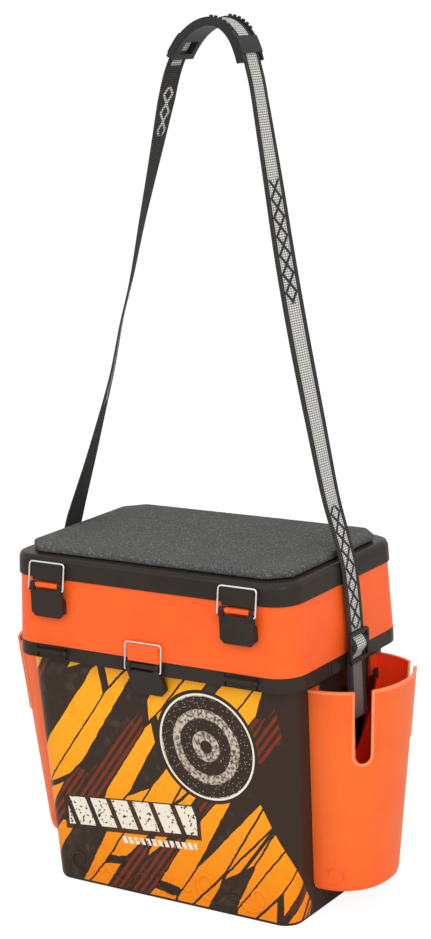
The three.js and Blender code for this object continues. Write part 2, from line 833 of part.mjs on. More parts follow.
// A prism with a round lower end, wide along Y, standing up past the rim and reaching along X.
function roundEndedCutter(width, bottomZ, x0, x1) {
  const outline = [
    [-width / 2, pocketRimZ + pocketLift],
    [-width / 2, bottomZ + width / 2],
  ];
  for (let i = 1; i <= 2 * arcSteps; i += 1) {
    const angle = Math.PI * (1 + i / (2 * arcSteps));
    const z = bottomZ + width / 2 + (width / 2) * Math.sin(angle);
    outline.push([(width / 2) * Math.cos(angle), z]);
  }
  outline.push([width / 2, pocketRimZ + pocketLift]);
  return prismAlongX(outline, x0, x1);
}

function pocket(name, side) {
  const footTop = pocketFootZ + pocketFootEdge;
  const foot = [0, 0.5, 1].map((share) => {
    const inset = pocketFootEdge * (1 - Math.sin((share * Math.PI) / 2));
    const z = footTop - pocketFootEdge * Math.cos((share * Math.PI) / 2);
    return pocketRing(side, z, inset / 2);
  });
  const outer = loft([...foot, pocketRing(side, pocketRimZ, 0)]);
  const grown = (z) => {
    const ring = pocketRing(side, z, -pocketBead);
    const back = containerHalfX(z) + pocketBackGap;
    ring.forEach((point) => {
      if (side * point.x < back) point.x = side * back;
    });
    return ring;
  };
  const bead = loft([grown(pocketRimZ - pocketBeadHeight), grown(pocketRimZ)]);
  const hollow = loft([
    pocketRing(side, footTop - pocketFootEdge / 2, 2 * pocketWall),
    pocketRing(side, footTop + pocketFootEdge / 2, pocketWall),
    pocketRing(side, pocketRimZ + pocketLift, pocketWall),
  ]);
  const wallX = containerHalfX(pocketRimZ);
  const backStart = containerHalfX(pocketBackCutZ - pocketBackCutRadius) - overrun;
  const backEnd = wallX + pocketBackGap + pocketWall + overrun;
  const backEnds = [side * backStart, side * backEnd].sort((a, b) => a - b);
  const backCut = roundEndedCutter(
    2 * pocketBackCutRadius,
    pocketBackCutZ - pocketBackCutRadius,
    ...backEnds,
  ).translate([0, pocketCentreY, 0]);
  const slots = [-1, 1].map((way) => {
    const cutter = roundEndedCutter(slotWidth, pocketRimZ - slotDepth, -slotReach, slotReach);
    const angle = way * (90 - slotAngle);
    const x = wallX + slotOutShare * pocketRimDepth;
    const y = way * slotSideShare * pocketRimHalfWidth;
    return cutter.rotate([0, 0, side * angle]).translate([side * x, pocketCentreY + y, 0]);
  });
  const windows = [-hookY, hookY].map((y) => {
    const lowZ = hookArmZ - pocketLift - sideGap;
    const highZ = hookArmZ + hookArm + seatGap;
    const half = hookWidth / 2 + sideGap;
    const middle = pocketCentreY + y;
    return box(backEnds[0], backEnds[1], middle - half, middle + half, lowZ, highZ);
  });
  const body = cut(join(outer, bead), hollow, backCut, ...slots, ...windows);
  return meshOf(name, body, colours.orange);
}

// Strap

// Where the webbing's middle runs in the plane of the lugs, from the left tail to the right tail.
const turnRadius = lugBarRadius + seatGap + webbingThickness / 2;

function lugTurn(side, way) {
  const points = [];
  for (let i = 0; i <= 2 * arcSteps; i += 1) {
    const angle = Math.PI * (1 + i / (2 * arcSteps));
    points.push([lugX + turnRadius * Math.cos(angle), lugZ + turnRadius * Math.sin(angle)]);
  }
  const turned = points.map(([x, z]) => [side * x, z]);
  return way > 0 ? turned : turned.reverse();
}

// Shares of the legs' mean place, and of the strap's rise above the lugs.
const leftLegShares = [
  [-1.019, 0.103],
  [-1.011, 0.16],
  [-1.003, 0.195],
  [-0.992, 0.225],
  [-0.963, 0.25],
  [-0.924, 0.276],
  [-0.82, 0.342],
  [-0.725, 0.406],
  [-0.612, 0.485],
  [-0.522, 0.563],
  [-0.439, 0.623],
  [-0.333, 0.714],
  [-0.226, 0.801],
  [-0.121, 0.888],
];
const rightLegShares = [
  [0.498, 0.91],
  [0.53, 0.857],
  [0.578, 0.773],
  [0.64, 0.66],
  [0.713, 0.547],
  [0.797, 0.433],
  [0.887, 0.317],
  [0.944, 0.266],
  [0.987, 0.226],
  [0.999, 0.202],
  [1.011, 0.167],
  [1.018, 0.136],
];

// Shares of the turn round a lug's bar, inwards from the leg, and of the strap's rise above the lugs.
const leftTailShares = [
  [0.22, 0.069],
  [0.23, 0.052],
  [0.54, 0.03],
  [0.915, 0.011],
];
const rightTailShares = [
  [0.915, 0.011],
  [0.55, 0.03],
  [0.28, 0.055],
];

// Shares of the shoulder's span, from the strap's highest point.
const overShoulderShares = [
  [-0.605, -0.575],
  [-0.54, -0.425],
  [-0.445, -0.275],
  [-0.32, -0.135],
  [-0.16, -0.035],
  [0, 0],
  [0.14, -0.035],
  [0.26, -0.14],
  [0.34, -0.295],
  [0.39, -0.475],
];

// Shares of the buckle's height, from its middle: the webbing's way round the middle bar, and its tail's.
const throughBuckleShares = [
  [-0.097, 0.424],
  [-0.076, 0.303],
  [0.033, 0.167],
  [0.094, 0.015],
  [0.033, -0.136],
  [-0.076, -0.273],
  [-0.094, -0.409],
];
const tailInBuckleShares = [
  [-0.155, -0.47],
  [-0.145, -0.318],
  [-0.118, -0.197],
  [-0.076, -0.076],
  [-0.073, 0.045],
  [-0.073, 0.152],
];

const planeNormal = new THREE.Vector3(0, 1, 0);

function inStrapPlane([x, z]) {
  return new THREE.Vector3(x, pocketCentreY, z);
}

function onLeg([out, up]) {
  return inStrapPlane([out * strapHalfX, lugZ + up * strapRise]);
}

// A tail runs beside the leg that it turns back from, which starts at the lug and ends at the given point.
function onTail([inward, up], leg) {
  const side = Math.sign(leg.x);
  const z = lugZ + up * strapRise;
  const legX = mix(side * (lugX + turnRadius), leg.x, (z - lugZ) / (leg.z - lugZ));
  return inStrapPlane([legX - side * inward * 2 * turnRadius, z]);
}

function onShoulder([out, up]) {
  return inStrapPlane([shoulderTopX + out * shoulderSpan, strapTopZ + up * shoulderSpan]);
}

function inBuckle([out, up]) {
  return inStrapPlane([buckleX + out * buckleHeight, buckleBottom + (up + 0.5) * buckleHeight]);
}

function curveThrough(points) {
  return new THREE.CatmullRomCurve3(points, false, "centripetal");
}

// The webbing turns along its legs, so each piece of a leg's table is split into short steps.
function smoothLeg(shares) {
  return curveThrough(shares.map(onLeg)).getPoints(legSteps * (shares.length - 1));
}

const leftLeg = smoothLeg(leftLegShares);
const rightLeg = smoothLeg(rightLegShares);
const throughBuckle = throughBuckleShares.map(inBuckle);
const shoulderCurve = curveThrough([
  leftLeg[leftLeg.length - 1],
  ...overShoulderShares.map(onShoulder),
  rightLeg[0],
]);

const webbingPath = [
  ...leftTailShares.map((share) => onTail(share, leftLeg[0])),
  ...lugTurn(-1, 1).map(inStrapPlane),
  ...leftLeg.slice(0, -1),
  ...shoulderCurve.getSpacedPoints(4 * arcSteps),
  ...rightLeg.slice(1),
  ...throughBuckle,
  ...lugTurn(1, -1).map(inStrapPlane),
  ...rightTailShares.map((share) => onTail(share, throughBuckle[throughBuckle.length - 1])),
  ...tailInBuckleShares.map(inBuckle),
];

function webbing() {
  const stations = stationsInPlane(webbingPath, planeNormal);
  stations.forEach((station) => {
    const share = (station.centre.z - twistFootZ) / (twistTopZ - twistFootZ);
    if (share <= 0 || share >= 1) return;
    const ahead = station.across.clone().cross(station.out);
    const turn = radians(station.centre.x < 0 ? leftTwist : rightTwist) * Math.sin(Math.PI * share);
    station.across.applyAxisAngle(ahead, turn);
    station.out.applyAxisAngle(ahead, turn);
  });
  const half = webbingWidth / 2;
  const deep = webbingThickness / 2;
  const body = sweep(stations, rectangleProfile(-half, half, -deep, deep));
  return meshOf("strap_webbing", body, colours.webbing);
}

// The shoulder pad follows the webbing's curve: a base with a window in it, two rails, two bridges.
function shoulderPad() {
  const along = (from, to, steps) => {
    const points = Array.from({ length: steps + 1 }, (_, i) =>
      shoulderCurve.getPointAt(mix(from, to, i / steps)),
    );
    return stationsInPlane(points, planeNormal);
  };
  const half = shoulderWidth / 2;
  const railIn = webbingWidth / 2 + shoulderRailGap;
  const under = webbingThickness / 2 + sideGap;
  const [start, end] = shoulderEndShares;
  const steps = 4 * arcSteps;
  const base = sweep(
    along(start, end, steps),
    rectangleProfile(-half, half, -under - shoulderBase, -under),
  );
  const sides = [
    [-half, -railIn],
    [railIn, half],
  ];
  const railTop = under + shoulderRailRise;
  const rails = sides.map(([a0, a1]) =>
    sweep(along(start, end, steps), rectangleProfile(a0, a1, -under - shoulderBase / 2, railTop)),
  );
  const bridges = shoulderBridgeShares.map(([from, to]) =>
    sweep(along(from, to, arcSteps), rectangleProfile(-half, half, under, under + shoulderBridge)),
  );
  const length = shoulderCurve.getLength();
  const teeth = Array.from({ length: toothCount }, (_, i) => {
    const middle = mix(...toothShares, i / (toothCount - 1));
    const reach = toothLength / 2 / length;
    return sides.map(([a0, a1]) =>
      sweep(
        along(middle - reach, middle + reach, 1),
        rectangleProfile(a0, a1, under, railTop + toothHeight),
      ),
    );
  }).flat();
  const windowHalf = shoulderWindowWidth / 2;
  const opening = sweep(
    along(...shoulderWindowShares, arcSteps),
    rectangleProfile(-windowHalf, windowHalf, -under - shoulderBase - overrun, -under + overrun / 2),
  );
  const body = cut(join(base, ...rails, ...bridges, ...teeth), opening);
  return meshOf("shoulder_pad", body, colours.black);
}

function adjusterBuckle() {
  const half = buckleWidth / 2;
  const top = buckleBottom + buckleHeight;
  const middleZ = (buckleBottom + top) / 2;
  const x0 = buckleX - buckleThickness / 2;
  const x1 = buckleX + buckleThickness / 2;
  const outline = [
    [-half + buckleCorner, buckleBottom],
    [half - buckleCorner, buckleBottom],
    [half, buckleBottom + buckleCorner],
    [half, top - buckleCorner],
    [half - buckleCorner, top],
    [-half + buckleCorner, top],
    [-half, top - buckleCorner],
    [-half, buckleBottom + buckleCorner],
  ].map(([y, z]) => [pocketCentreY + y, z]);
  const inner = half - buckleSide;
  const y0 = pocketCentreY - inner;
  const y1 = pocketCentreY + inner;
  const window = box(x0 - overrun, x1 + overrun, y0, y1, buckleBottom + buckleBar, top - buckleBar);
  const halfBar = buckleMiddleBar / 2;
  const halfThin = buckleMiddleThickness / 2;
  const bar = box(
    buckleX - halfThin,
    buckleX + halfThin,
    y0 - buckleSide / 2,
    y1 + buckleSide / 2,
    middleZ - halfBar,
    middleZ + halfBar,
  );
  const frame = cut(prismAlongX(outline, x0, x1), window);
  return meshOf("adjuster_buckle", join(frame, bar), colours.black);
}

const seatBox = new THREE.Group();
seatBox.add(
  container(),
  frontPanel(),
  tray(),
  lid(),
  seatPad(),
  latch("left", -latchX, trayBarZ, 0),
  latch("right", latchX, trayBarZ, 0),
  latch("centre", 0, collarBarZ, centreLeverTilt),
  pocket("left_pocket", -1),
  pocket("right_pocket", 1),
  webbing(),
  shoulderPad(),
  adjusterBuckle(),
  hingePin("left_tray_hinge_pin", -hingeX, trayPivotY, trayPivotZ),
  hingePin("right_tray_hinge_pin", hingeX, trayPivotY, trayPivotZ),
  hingePin("left_lid_hinge_pin", -hingeX, lidPivotY, lidPivotZ),
  hingePin("right_lid_hinge_pin", hingeX, lidPivotY, lidPivotZ),
);

export default seatBox;
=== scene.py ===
"""Looks of a fishing seat box: moulded box, tray and lid, wire latches, side pockets and webbing strap.

Every length is in metres, +Z is up and the front faces -Y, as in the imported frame.
"""

from __future__ import annotations

import logging
import math
from contextlib import contextmanager
from dataclasses import dataclass, field
from enum import Enum
from typing import Callable, Iterator, Sequence

import bpy
from mathutils import Matrix, Vector, noise


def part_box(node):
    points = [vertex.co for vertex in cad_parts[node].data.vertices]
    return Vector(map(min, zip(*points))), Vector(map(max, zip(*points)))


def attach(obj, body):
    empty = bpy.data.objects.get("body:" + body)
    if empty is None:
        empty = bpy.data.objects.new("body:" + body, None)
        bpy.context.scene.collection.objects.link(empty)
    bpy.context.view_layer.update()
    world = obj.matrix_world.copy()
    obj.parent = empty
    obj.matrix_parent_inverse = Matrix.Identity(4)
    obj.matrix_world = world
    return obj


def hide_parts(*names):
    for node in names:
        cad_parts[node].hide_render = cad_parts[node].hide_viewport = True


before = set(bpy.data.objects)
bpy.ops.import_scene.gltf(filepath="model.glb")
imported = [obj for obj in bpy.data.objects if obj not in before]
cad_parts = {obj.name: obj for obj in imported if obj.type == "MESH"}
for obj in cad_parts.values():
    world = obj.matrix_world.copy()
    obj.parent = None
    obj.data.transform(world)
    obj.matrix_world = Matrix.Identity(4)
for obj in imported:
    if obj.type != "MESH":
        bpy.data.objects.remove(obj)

LOG = logging.getLogger("seat_box")
MM = 0.001

NOISE_MIDDLE = 0.5

# A noise is a pair, its clouds in a metre and its finer layers. A span is where something starts and ends,
# and a band its middle and half its width.
Pair = tuple[float, float]
Triple = tuple[float, float, float]
Colour = Triple
Object = bpy.types.Object
Node = bpy.types.Node
Socket = bpy.types.NodeSocket
Material = bpy.types.Material
Paint = Colour | Socket


class Slot(Enum):
    """The record's material slots."""

    BLACK = "black_plastic"
    ORANGE = "orange_plastic"
    PRINT = "printed_panel"
    FOAM = "seat_foam"
    WEBBING = "webbing"
    RUBBER = "black_rubber"
    STEEL = "steel"


class Side(Enum):
    """A side of the box, seen from the front, with its way along X."""

    LEFT = -1
    RIGHT = 1


class End(Enum):
    """An end of a side pocket, with its way along Y."""

    FRONT = -1
    REAR = 1


# Shader values as Python expressions


@dataclass(frozen=True)
class Value:
    """A number that nodes work out. Python's operators add the Math nodes."""

    tree: bpy.types.NodeTree
    socket: Socket

    def math(self, operation: str, *others: Value | float) -> Value:
        """Adds a Math node.

        Args:
            operation: the node's operation.
            others: the second and third operands.

        Returns:
            The node's result.
        """
        node = self.tree.nodes.new("ShaderNodeMath")
        node.operation = operation
        for place, operand in enumerate((self, *others)):
            if isinstance(operand, Value):
                self.tree.links.new(operand.socket, node.inputs[place])
            else:
                node.inputs[place].default_value = operand
        return Value(self.tree, node.outputs[0])

    def __add__(self, other: Value | float) -> Value:
        """The sum."""
        return self.math("ADD", other)

    __radd__ = __add__

    def __mul__(self, other: Value | float) -> Value:
        """The product."""
        return self.math("MULTIPLY", other)

    __rmul__ = __mul__

    def __sub__(self, other: Value | float) -> Value:
        """The difference."""
        return self.math("SUBTRACT", other)

    def __rsub__(self, other: float) -> Value:
        """The difference from a number."""
        return (self * -1.0) + other

    def __truediv__(self, other: float) -> Value:
        """The quotient by a number."""
        return self.math("DIVIDE", other)

    def __abs__(self) -> Value:
        """The size without its sign."""
        return self.math("ABSOLUTE")

    def __gt__(self, other: Value | float) -> Value:
        """1 where this is more than the other, else 0."""
        return self.math("GREATER_THAN", other)

    def __lt__(self, other: Value | float) -> Value:
        """1 where this is less than the other, else 0."""
        return self.math("LESS_THAN", other)

    def either(self, other: Value) -> Value:
        """The larger of two masks."""
        return self.math("MAXIMUM", other)

    def fold(self, length: float) -> Value:
        """Runs to and fro between 0 and the length."""
        return self.math("PINGPONG", length)

    def within(self, middle: float, half: float) -> Value:
        """1 where this lies within half of the middle, else 0."""
        return abs(self - middle) < half

    def swing(self, spread: float) -> Value:
        """A noise's swing about its middle, over a spread."""
        return spread * (self - NOISE_MIDDLE)

    def ramp(self, span: Pair) -> Value:
        """A smooth rise.

        Args:
            span: where it is 0 and where it is 1.

        Returns:
            The rise, held between 0 and 1.
        """
        node = self.tree.nodes.new("ShaderNodeMapRange")
        node.interpolation_type = "SMOOTHSTEP"
        self.tree.links.new(self.socket, node.inputs[0])
        node.inputs[1].default_value, node.inputs[2].default_value = span
        return Value(self.tree, node.outputs[0])


class Graph:
    """A node tree that is built up node by node."""

    def __init__(self, owner: Material | bpy.types.World) -> None:
        """Empties a tree.

        Args:
            owner: what the tree belongs to.
        """
        owner.use_nodes = True
        self.tree = owner.node_tree
        self.tree.nodes.clear()

    def node(self, kind: str, settings: dict | None = None, inputs: dict | None = None) -> Node:
        """Adds a node.

        Args:
            kind: the node's type.
            settings: its own settings, which are set first.
            inputs: what its sockets hold or are linked to, by name or number.

        Returns:
            The node.
        """
        node = self.tree.nodes.new(kind)
        for key, value in (settings or {}).items():
            setattr(node, key, value)
        for key, value in (inputs or {}).items():
            self.put(node.inputs[key], value)
        return node

    def put(self, socket: Socket, value: object) -> None:
        """Links or sets a socket.

        Args:
            socket: the socket.
            value: a Value or a socket to link it to, or its number, vector or colour.
        """
        if isinstance(value, Value):
            self.tree.links.new(value.socket, socket)
        elif isinstance(value, Socket):
            self.tree.links.new(value, socket)
        elif socket.type == "RGBA":
            socket.default_value = (*value, 1.0)
        else:
            socket.default_value = value

    def value(self, node: Node, output: int | str = 0) -> Value:
        """A node's output as a Value."""
        return Value(self.tree, node.outputs[output])

    def mixed(self, share: Value, first: Node, second: Node) -> Node:
        """Mixes two shaders, by the share of the second."""
        inputs = {0: share, 1: first.outputs[0], 2: second.outputs[0]}
        return self.node("ShaderNodeMixShader", inputs=inputs)


# Places of the colour sockets on a Mix node

MIX_FIRST = 6
MIX_SECOND = 7
MIX_RESULT = 2


class Recipe(Graph):
    """A material that is built up node by node."""

    def __init__(self, name: str) -> None:
        """Starts a material with its shader and output.

        Args:
            name: the material's name.
        """
        self.material = bpy.data.materials.new(name)
        super().__init__(self.material)
        self.shader = self.node("ShaderNodeBsdfPrincipled")
        self.node("ShaderNodeOutputMaterial", inputs={"Surface": self.shader.outputs[0]})
        self.coordinates = self.node("ShaderNodeTexCoord").outputs["Object"]

    def height(self) -> Value:
        """The object's own Z, in metres."""
        return self.value(self.node("ShaderNodeSeparateXYZ", inputs={0: self.coordinates}), 2)

    def stretched(self, scale: Triple) -> Socket:
        """The object's coordinates, each multiplied."""
        inputs = {0: self.coordinates, 1: scale}
        return self.node("ShaderNodeVectorMath", {"operation": "MULTIPLY"}, inputs).outputs[0]

    def noise(self, clouds: Pair, vector: Socket | None = None) -> Value:
        """Cloudy noise from 0 to 1.

        Args:
            clouds: how many there are in a metre, and how many finer layers.
            vector: the noise's coordinates, if not the object's own.

        Returns:
            The noise.
        """
        scale, detail = clouds
        inputs = {"Vector": vector or self.coordinates, "Scale": scale, "Detail": detail}
        return self.value(self.node("ShaderNodeTexNoise", inputs=inputs))

    def cells(self, scale: float) -> Value:
        """The distance to the nearest of many scattered points, as a share of their spacing."""
        inputs = {"Vector": self.coordinates, "Scale": scale}
        return self.value(self.node("ShaderNodeTexVoronoi", inputs=inputs))

    def attribute(self, name: str) -> Value:
        """A number that the piece's points carry."""
        return self.value(self.node("ShaderNodeAttribute", {"attribute_name": name}), "Fac")

    def blend(self, share: Value, first: Paint, second: Paint) -> Socket:
        """Mixes two colours, by the share of the second."""
        inputs = {0: share, MIX_FIRST: first, MIX_SECOND: second}
        return self.node("ShaderNodeMix", {"data_type": "RGBA"}, inputs).outputs[MIX_RESULT]

    def bump(self, height: Value, depth: float, strength: float = 1.0) -> Socket:
        """A normal, bumped by a height from 0 to 1 that stands for a depth in metres."""
        inputs = {"Strength": strength, "Distance": depth, "Height": height}
        return self.node("ShaderNodeBump", inputs=inputs).outputs[0]

    def finish(self, **sockets: object) -> Material:
        """Sets the shader's sockets.

        Args:
            sockets: what each holds, with _ for the spaces in its name.

        Returns:
            The material.
        """
        for name, value in sockets.items():
            self.put(self.shader.inputs[name.replace("_", " ")], value)
        return self.material


# Finishes


@dataclass(frozen=True)
class MouldedPlastic:
    """Satin moulded plastic: a fine spark-eroded grain, faint clouds and flow marks, and a little dust."""

    name: str
    colour: Colour
    shade: Colour
    roughness: float = 0.42
    grain: Pair = (1500.0, 2.0)
    grain_depth: float = 0.03 * MM
    grain_spread: float = 0.1
    clouds: Pair = (14.0, 3.0)
    cloud_span: Pair = (0.35, 0.7)
    flow: Pair = (1.0, 2.0)
    flow_stretch: Triple = (30.0, 30.0, 5.0)
    flow_spread: float = 0.06
    flow_share: float = 0.25
    dust: Colour = (0.5, 0.48, 0.45)
    dust_scale: float = 260.0
    dust_size: float = 0.05
    dust_share: float = 0.12
    gloss: float = 0.25
    coat: float = 0.0
    coat_roughness: float = 0.2
    glow: float = 0.0
    glow_depth: float = 6 * MM
    glow_radii: Triple = (1.0, 0.12, 0.04)

    def build(self) -> Material:
        """Makes the material.

        Returns:
            The material.
        """
        recipe = Recipe(self.name)
        clouds = recipe.noise(self.clouds)
        grain = recipe.noise(self.grain)
        flow = recipe.noise(self.flow, recipe.stretched(self.flow_stretch))
        dust = recipe.cells(self.dust_scale) < self.dust_size
        colour = recipe.blend(clouds.ramp(self.cloud_span), self.colour, self.shade)
        return recipe.finish(
            Base_Color=recipe.blend(dust * self.dust_share, colour, self.dust),
            Roughness=self.roughness + grain.swing(self.grain_spread) + flow.swing(self.flow_spread),
            Normal=recipe.bump(grain + self.flow_share * flow, self.grain_depth),
            Specular_IOR_Level=self.gloss,
            Coat_Weight=self.coat,
            Coat_Roughness=self.coat_roughness,
            Subsurface_Weight=self.glow,
            Subsurface_Scale=self.glow_depth,
            Subsurface_Radius=self.glow_radii,
        )


@dataclass(frozen=True)
class Inks:
    """The printed film's colours."""

    charcoal: Colour = (0.037, 0.022, 0.0145)
    soot: Colour = (0.062, 0.042, 0.03)
    rust: Colour = (0.2, 0.03, 0.01)
    amber: Colour = (0.92, 0.26, 0.004)
    honey: Colour = (0.98, 0.42, 0.012)
    cream: Colour = (0.86, 0.8, 0.68)
    stone: Colour = (0.6, 0.5, 0.4)
    stone_shade: Colour = (0.11, 0.085, 0.07)


@dataclass(frozen=True)
class Canvas:
    """What the film's design is printed on: a recipe, its inks, the run along the front and the height."""

    recipe: Recipe
    inks: Inks
    x: Value
    z: Value


@dataclass(frozen=True)
class Shards:
    """The film's ground: long slanted shards of amber on charcoal, some of them hatched with rust."""

    angle: float = 52.0
    width: float = 21 * MM
    length: float = 150 * MM
    brush: Pair = (70.0, 4.0)
    waver_share: float = 0.16
    seam_share: float = 0.045
    warm_from: float = 0.4
    honey_span: Pair = (30 * MM, 260 * MM)
    honey_waver: float = 80 * MM
    amber_span: Pair = (0.45, 0.75)
    amber_share: float = 0.35
    soot_span: Pair = (0.5, 0.72)
    hatched_band: Pair = (0.33, 0.06)
    hatch_pitch: float = 3.6 * MM
    hatch_gap_share: float = 0.5
    stroke_from: float = 0.75
    stroke_share: float = 0.09
    plain_right: float = 188 * MM
    plain_lean: float = 0.17
    # Painted shadow: a charcoal patch further in at the lower right, where the right pocket's shadow falls
    # on the box.
    pocket_shadow_right: float = 190 * MM
    pocket_shadow_lean: float = 0.5
    pocket_shadow_top: float = 178 * MM

    def plain(self, x: Value, z: Value) -> Value:
        """Where the ground is plain charcoal: printed at the right edge, and lower down further in as a
        painted shadow of the right pocket.

        Args:
            x: the run along the front.
            z: the height.

        Returns:
            1 on the plain ground, else 0.
        """
        right = (x + self.plain_lean * z) > self.plain_right
        # The lower patch is painted shadow of the right pocket.
        low = (x + self.pocket_shadow_lean * z) > self.pocket_shadow_right
        return right.either(low * (z < self.pocket_shadow_top))

    def ground(self, canvas: Canvas) -> Socket:
        """Lays the ground.

        Args:
            canvas: what the design is printed on.

        Returns:
            The ground's colour.
        """
        recipe, inks, x, z = canvas.recipe, canvas.inks, canvas.x, canvas.z
        turn = math.radians(self.angle)
        across = x * math.sin(turn) - z * math.cos(turn)
        along = x * math.cos(turn) + z * math.sin(turn)
        brush = recipe.noise(self.brush)
        inputs = {0: across / self.width + self.waver_share * brush, 1: along / self.length}
        place = recipe.node("ShaderNodeCombineXYZ", inputs=inputs).outputs[0]
        cell_inputs = {"Vector": place, "Scale": 1.0}
        flat = {"voronoi_dimensions": "2D"}
        cell = recipe.node("ShaderNodeTexVoronoi", flat, cell_inputs)
        pick = recipe.value(recipe.node("ShaderNodeSeparateColor", inputs={0: cell.outputs["Color"]}))
        edges = recipe.node("ShaderNodeTexVoronoi", flat | {"feature": "DISTANCE_TO_EDGE"}, cell_inputs)
        warm = recipe.blend((z + self.honey_waver * brush).ramp(self.honey_span), inks.amber, inks.honey)
        warm = recipe.blend(brush.ramp(self.amber_span) * self.amber_share, warm, inks.amber)
        dark = recipe.blend(brush.ramp(self.soot_span), inks.charcoal, inks.soot)
        colour = recipe.blend(pick > self.warm_from, dark, warm)
        hatch = across.fold(self.hatch_pitch) > self.hatch_gap_share * self.hatch_pitch
        colour = recipe.blend(pick.within(*self.hatched_band) * hatch, colour, inks.rust)
        stroke = (across.fold(self.width) < self.stroke_share * self.width) * (pick > self.stroke_from)
        seam = recipe.value(edges) < self.seam_share
        return recipe.blend(seam.either(stroke).either(self.plain(x, z)), colour, inks.charcoal)


@dataclass(frozen=True)
class Rings:
    """A speckled disc of ripple rings with a pale edge."""

    x: float = 62 * MM
    z: float = 186 * MM
    reach: float = 57 * MM
    pitch: float = 12 * MM
    gap_share: float = 0.6
    ripple: Pair = (24.0, 1.0)
    ripple_depth: float = 6 * MM
    mottle: Pair = (300.0, 4.0)
    mottle_span: Pair = (0.38, 0.6)
    spray_scale: float = 330.0
    spray_size: float = 0.2
    spray_share: float = 0.4
    bare_share: float = 0.25
    edge_half: float = 1.1 * MM
    halo_gap: float = 3 * MM
    halo_half: float = 2 * MM

    def over(self, canvas: Canvas, ground: Paint) -> Socket:
        """Prints the disc over a ground.

        Args:
            canvas: what the design is printed on.
            ground: the colour so far.

        Returns:
            The colour with the disc.
        """
        recipe, inks = canvas.recipe, canvas.inks
        off_x, off_z = canvas.x - self.x, canvas.z - self.z
        distance = (off_x * off_x + off_z * off_z).math("SQRT")
        disc = distance < self.reach
        rippled = distance + recipe.noise(self.ripple).swing(self.ripple_depth)
        ring = (rippled.fold(self.pitch) > self.gap_share * self.pitch) * disc
        dots = recipe.cells(self.spray_scale) < self.spray_size
        spray = dots * disc * (distance > self.bare_share * self.reach)
        mottle = recipe.noise(self.mottle).ramp(self.mottle_span)
        colour = recipe.blend(disc, ground, inks.charcoal)
        colour = recipe.blend(ring, colour, recipe.blend(mottle, inks.stone_shade, inks.stone))
        colour = recipe.blend(spray * self.spray_share, colour, inks.cream)
        halo = distance.within(self.reach + self.halo_gap, self.halo_half)
        colour = recipe.blend(halo, colour, inks.charcoal)
        return recipe.blend(distance.within(self.reach, self.edge_half), colour, inks.cream)


@dataclass(frozen=True)
class Dashes:
    """A row of slanted dashes on a dark bar with a smaller row below, worn as a stencil is."""

    x: float = -42 * MM
    z: float = 92 * MM
    rise: float = 0.1
    slant: float = 0.4
    half_length: float = 84 * MM
    half_height: float = 16 * MM
    half_pitch: float = 14.5 * MM
    gap_share: float = 0.24
    small_x: float = -8 * MM
    small_drop: float = -29 * MM
    small_half_length: float = 48 * MM
    small_half_height: float = 3.8 * MM
    small_half_pitch: float = 4 * MM
    small_gap: float = 1.3 * MM
    bar_drop: float = -2 * MM
    bar_half_length: float = 89 * MM
    bar_half_height: float = 19.5 * MM
    bar_share: float = 0.96
    wear: Pair = (240.0, 4.0)
    wear_from: float = 0.6

    def over(self, canvas: Canvas, ground: Paint) -> Socket:
        """Prints the dashes over a ground.

        Args:
            canvas: what the design is printed on.
            ground: the colour so far.

        Returns:
            The colour with the dashes.
        """
        recipe, inks, x, z = canvas.recipe, canvas.inks, canvas.x, canvas.z
        row = z - self.rise * (x - self.x) - self.z
        slant = x + self.slant * z
        big = slant.fold(self.half_pitch) > self.gap_share * self.half_pitch
        big = big * row.within(0.0, self.half_height) * x.within(self.x, self.half_length)
        small = slant.fold(self.small_half_pitch) > self.small_gap
        small = small * row.within(self.small_drop, self.small_half_height)
        small = small * x.within(self.small_x, self.small_half_length)
        bar = row.within(self.bar_drop, self.bar_half_height) * x.within(self.x, self.bar_half_length)
        worn = recipe.noise(self.wear) < self.wear_from
        colour = recipe.blend(bar * self.bar_share, ground, inks.charcoal)
        return recipe.blend(big.either(small) * worn, colour, inks.cream)


@dataclass(frozen=True)
class PrintedFilm:
    """A film with a generic design, for pieces whose points carry their run along the front."""

    name: str = "printed_film"
    inks: Inks = Inks()
    shards: Shards = Shards()
    rings: Rings = Rings()
    dashes: Dashes = Dashes()
    roughness: float = 0.38
    grain: Pair = (1500.0, 2.0)
    grain_depth: float = 0.02 * MM
    grain_spread: float = 0.1
    gloss: float = 0.15

    def build(self) -> Material:
        """Makes the material.

        Returns:
            The material.
        """
        recipe = Recipe(self.name)
        canvas = Canvas(recipe, self.inks, recipe.attribute("run"), recipe.height())
        ground = self.shards.ground(canvas)
        grain = recipe.noise(self.grain)
        return recipe.finish(
            Base_Color=self.dashes.over(canvas, self.rings.over(canvas, ground)),
            Roughness=self.roughness + grain.swing(self.grain_spread),
            Normal=recipe.bump(grain, self.grain_depth),
            Specular_IOR_Level=self.gloss,
        )


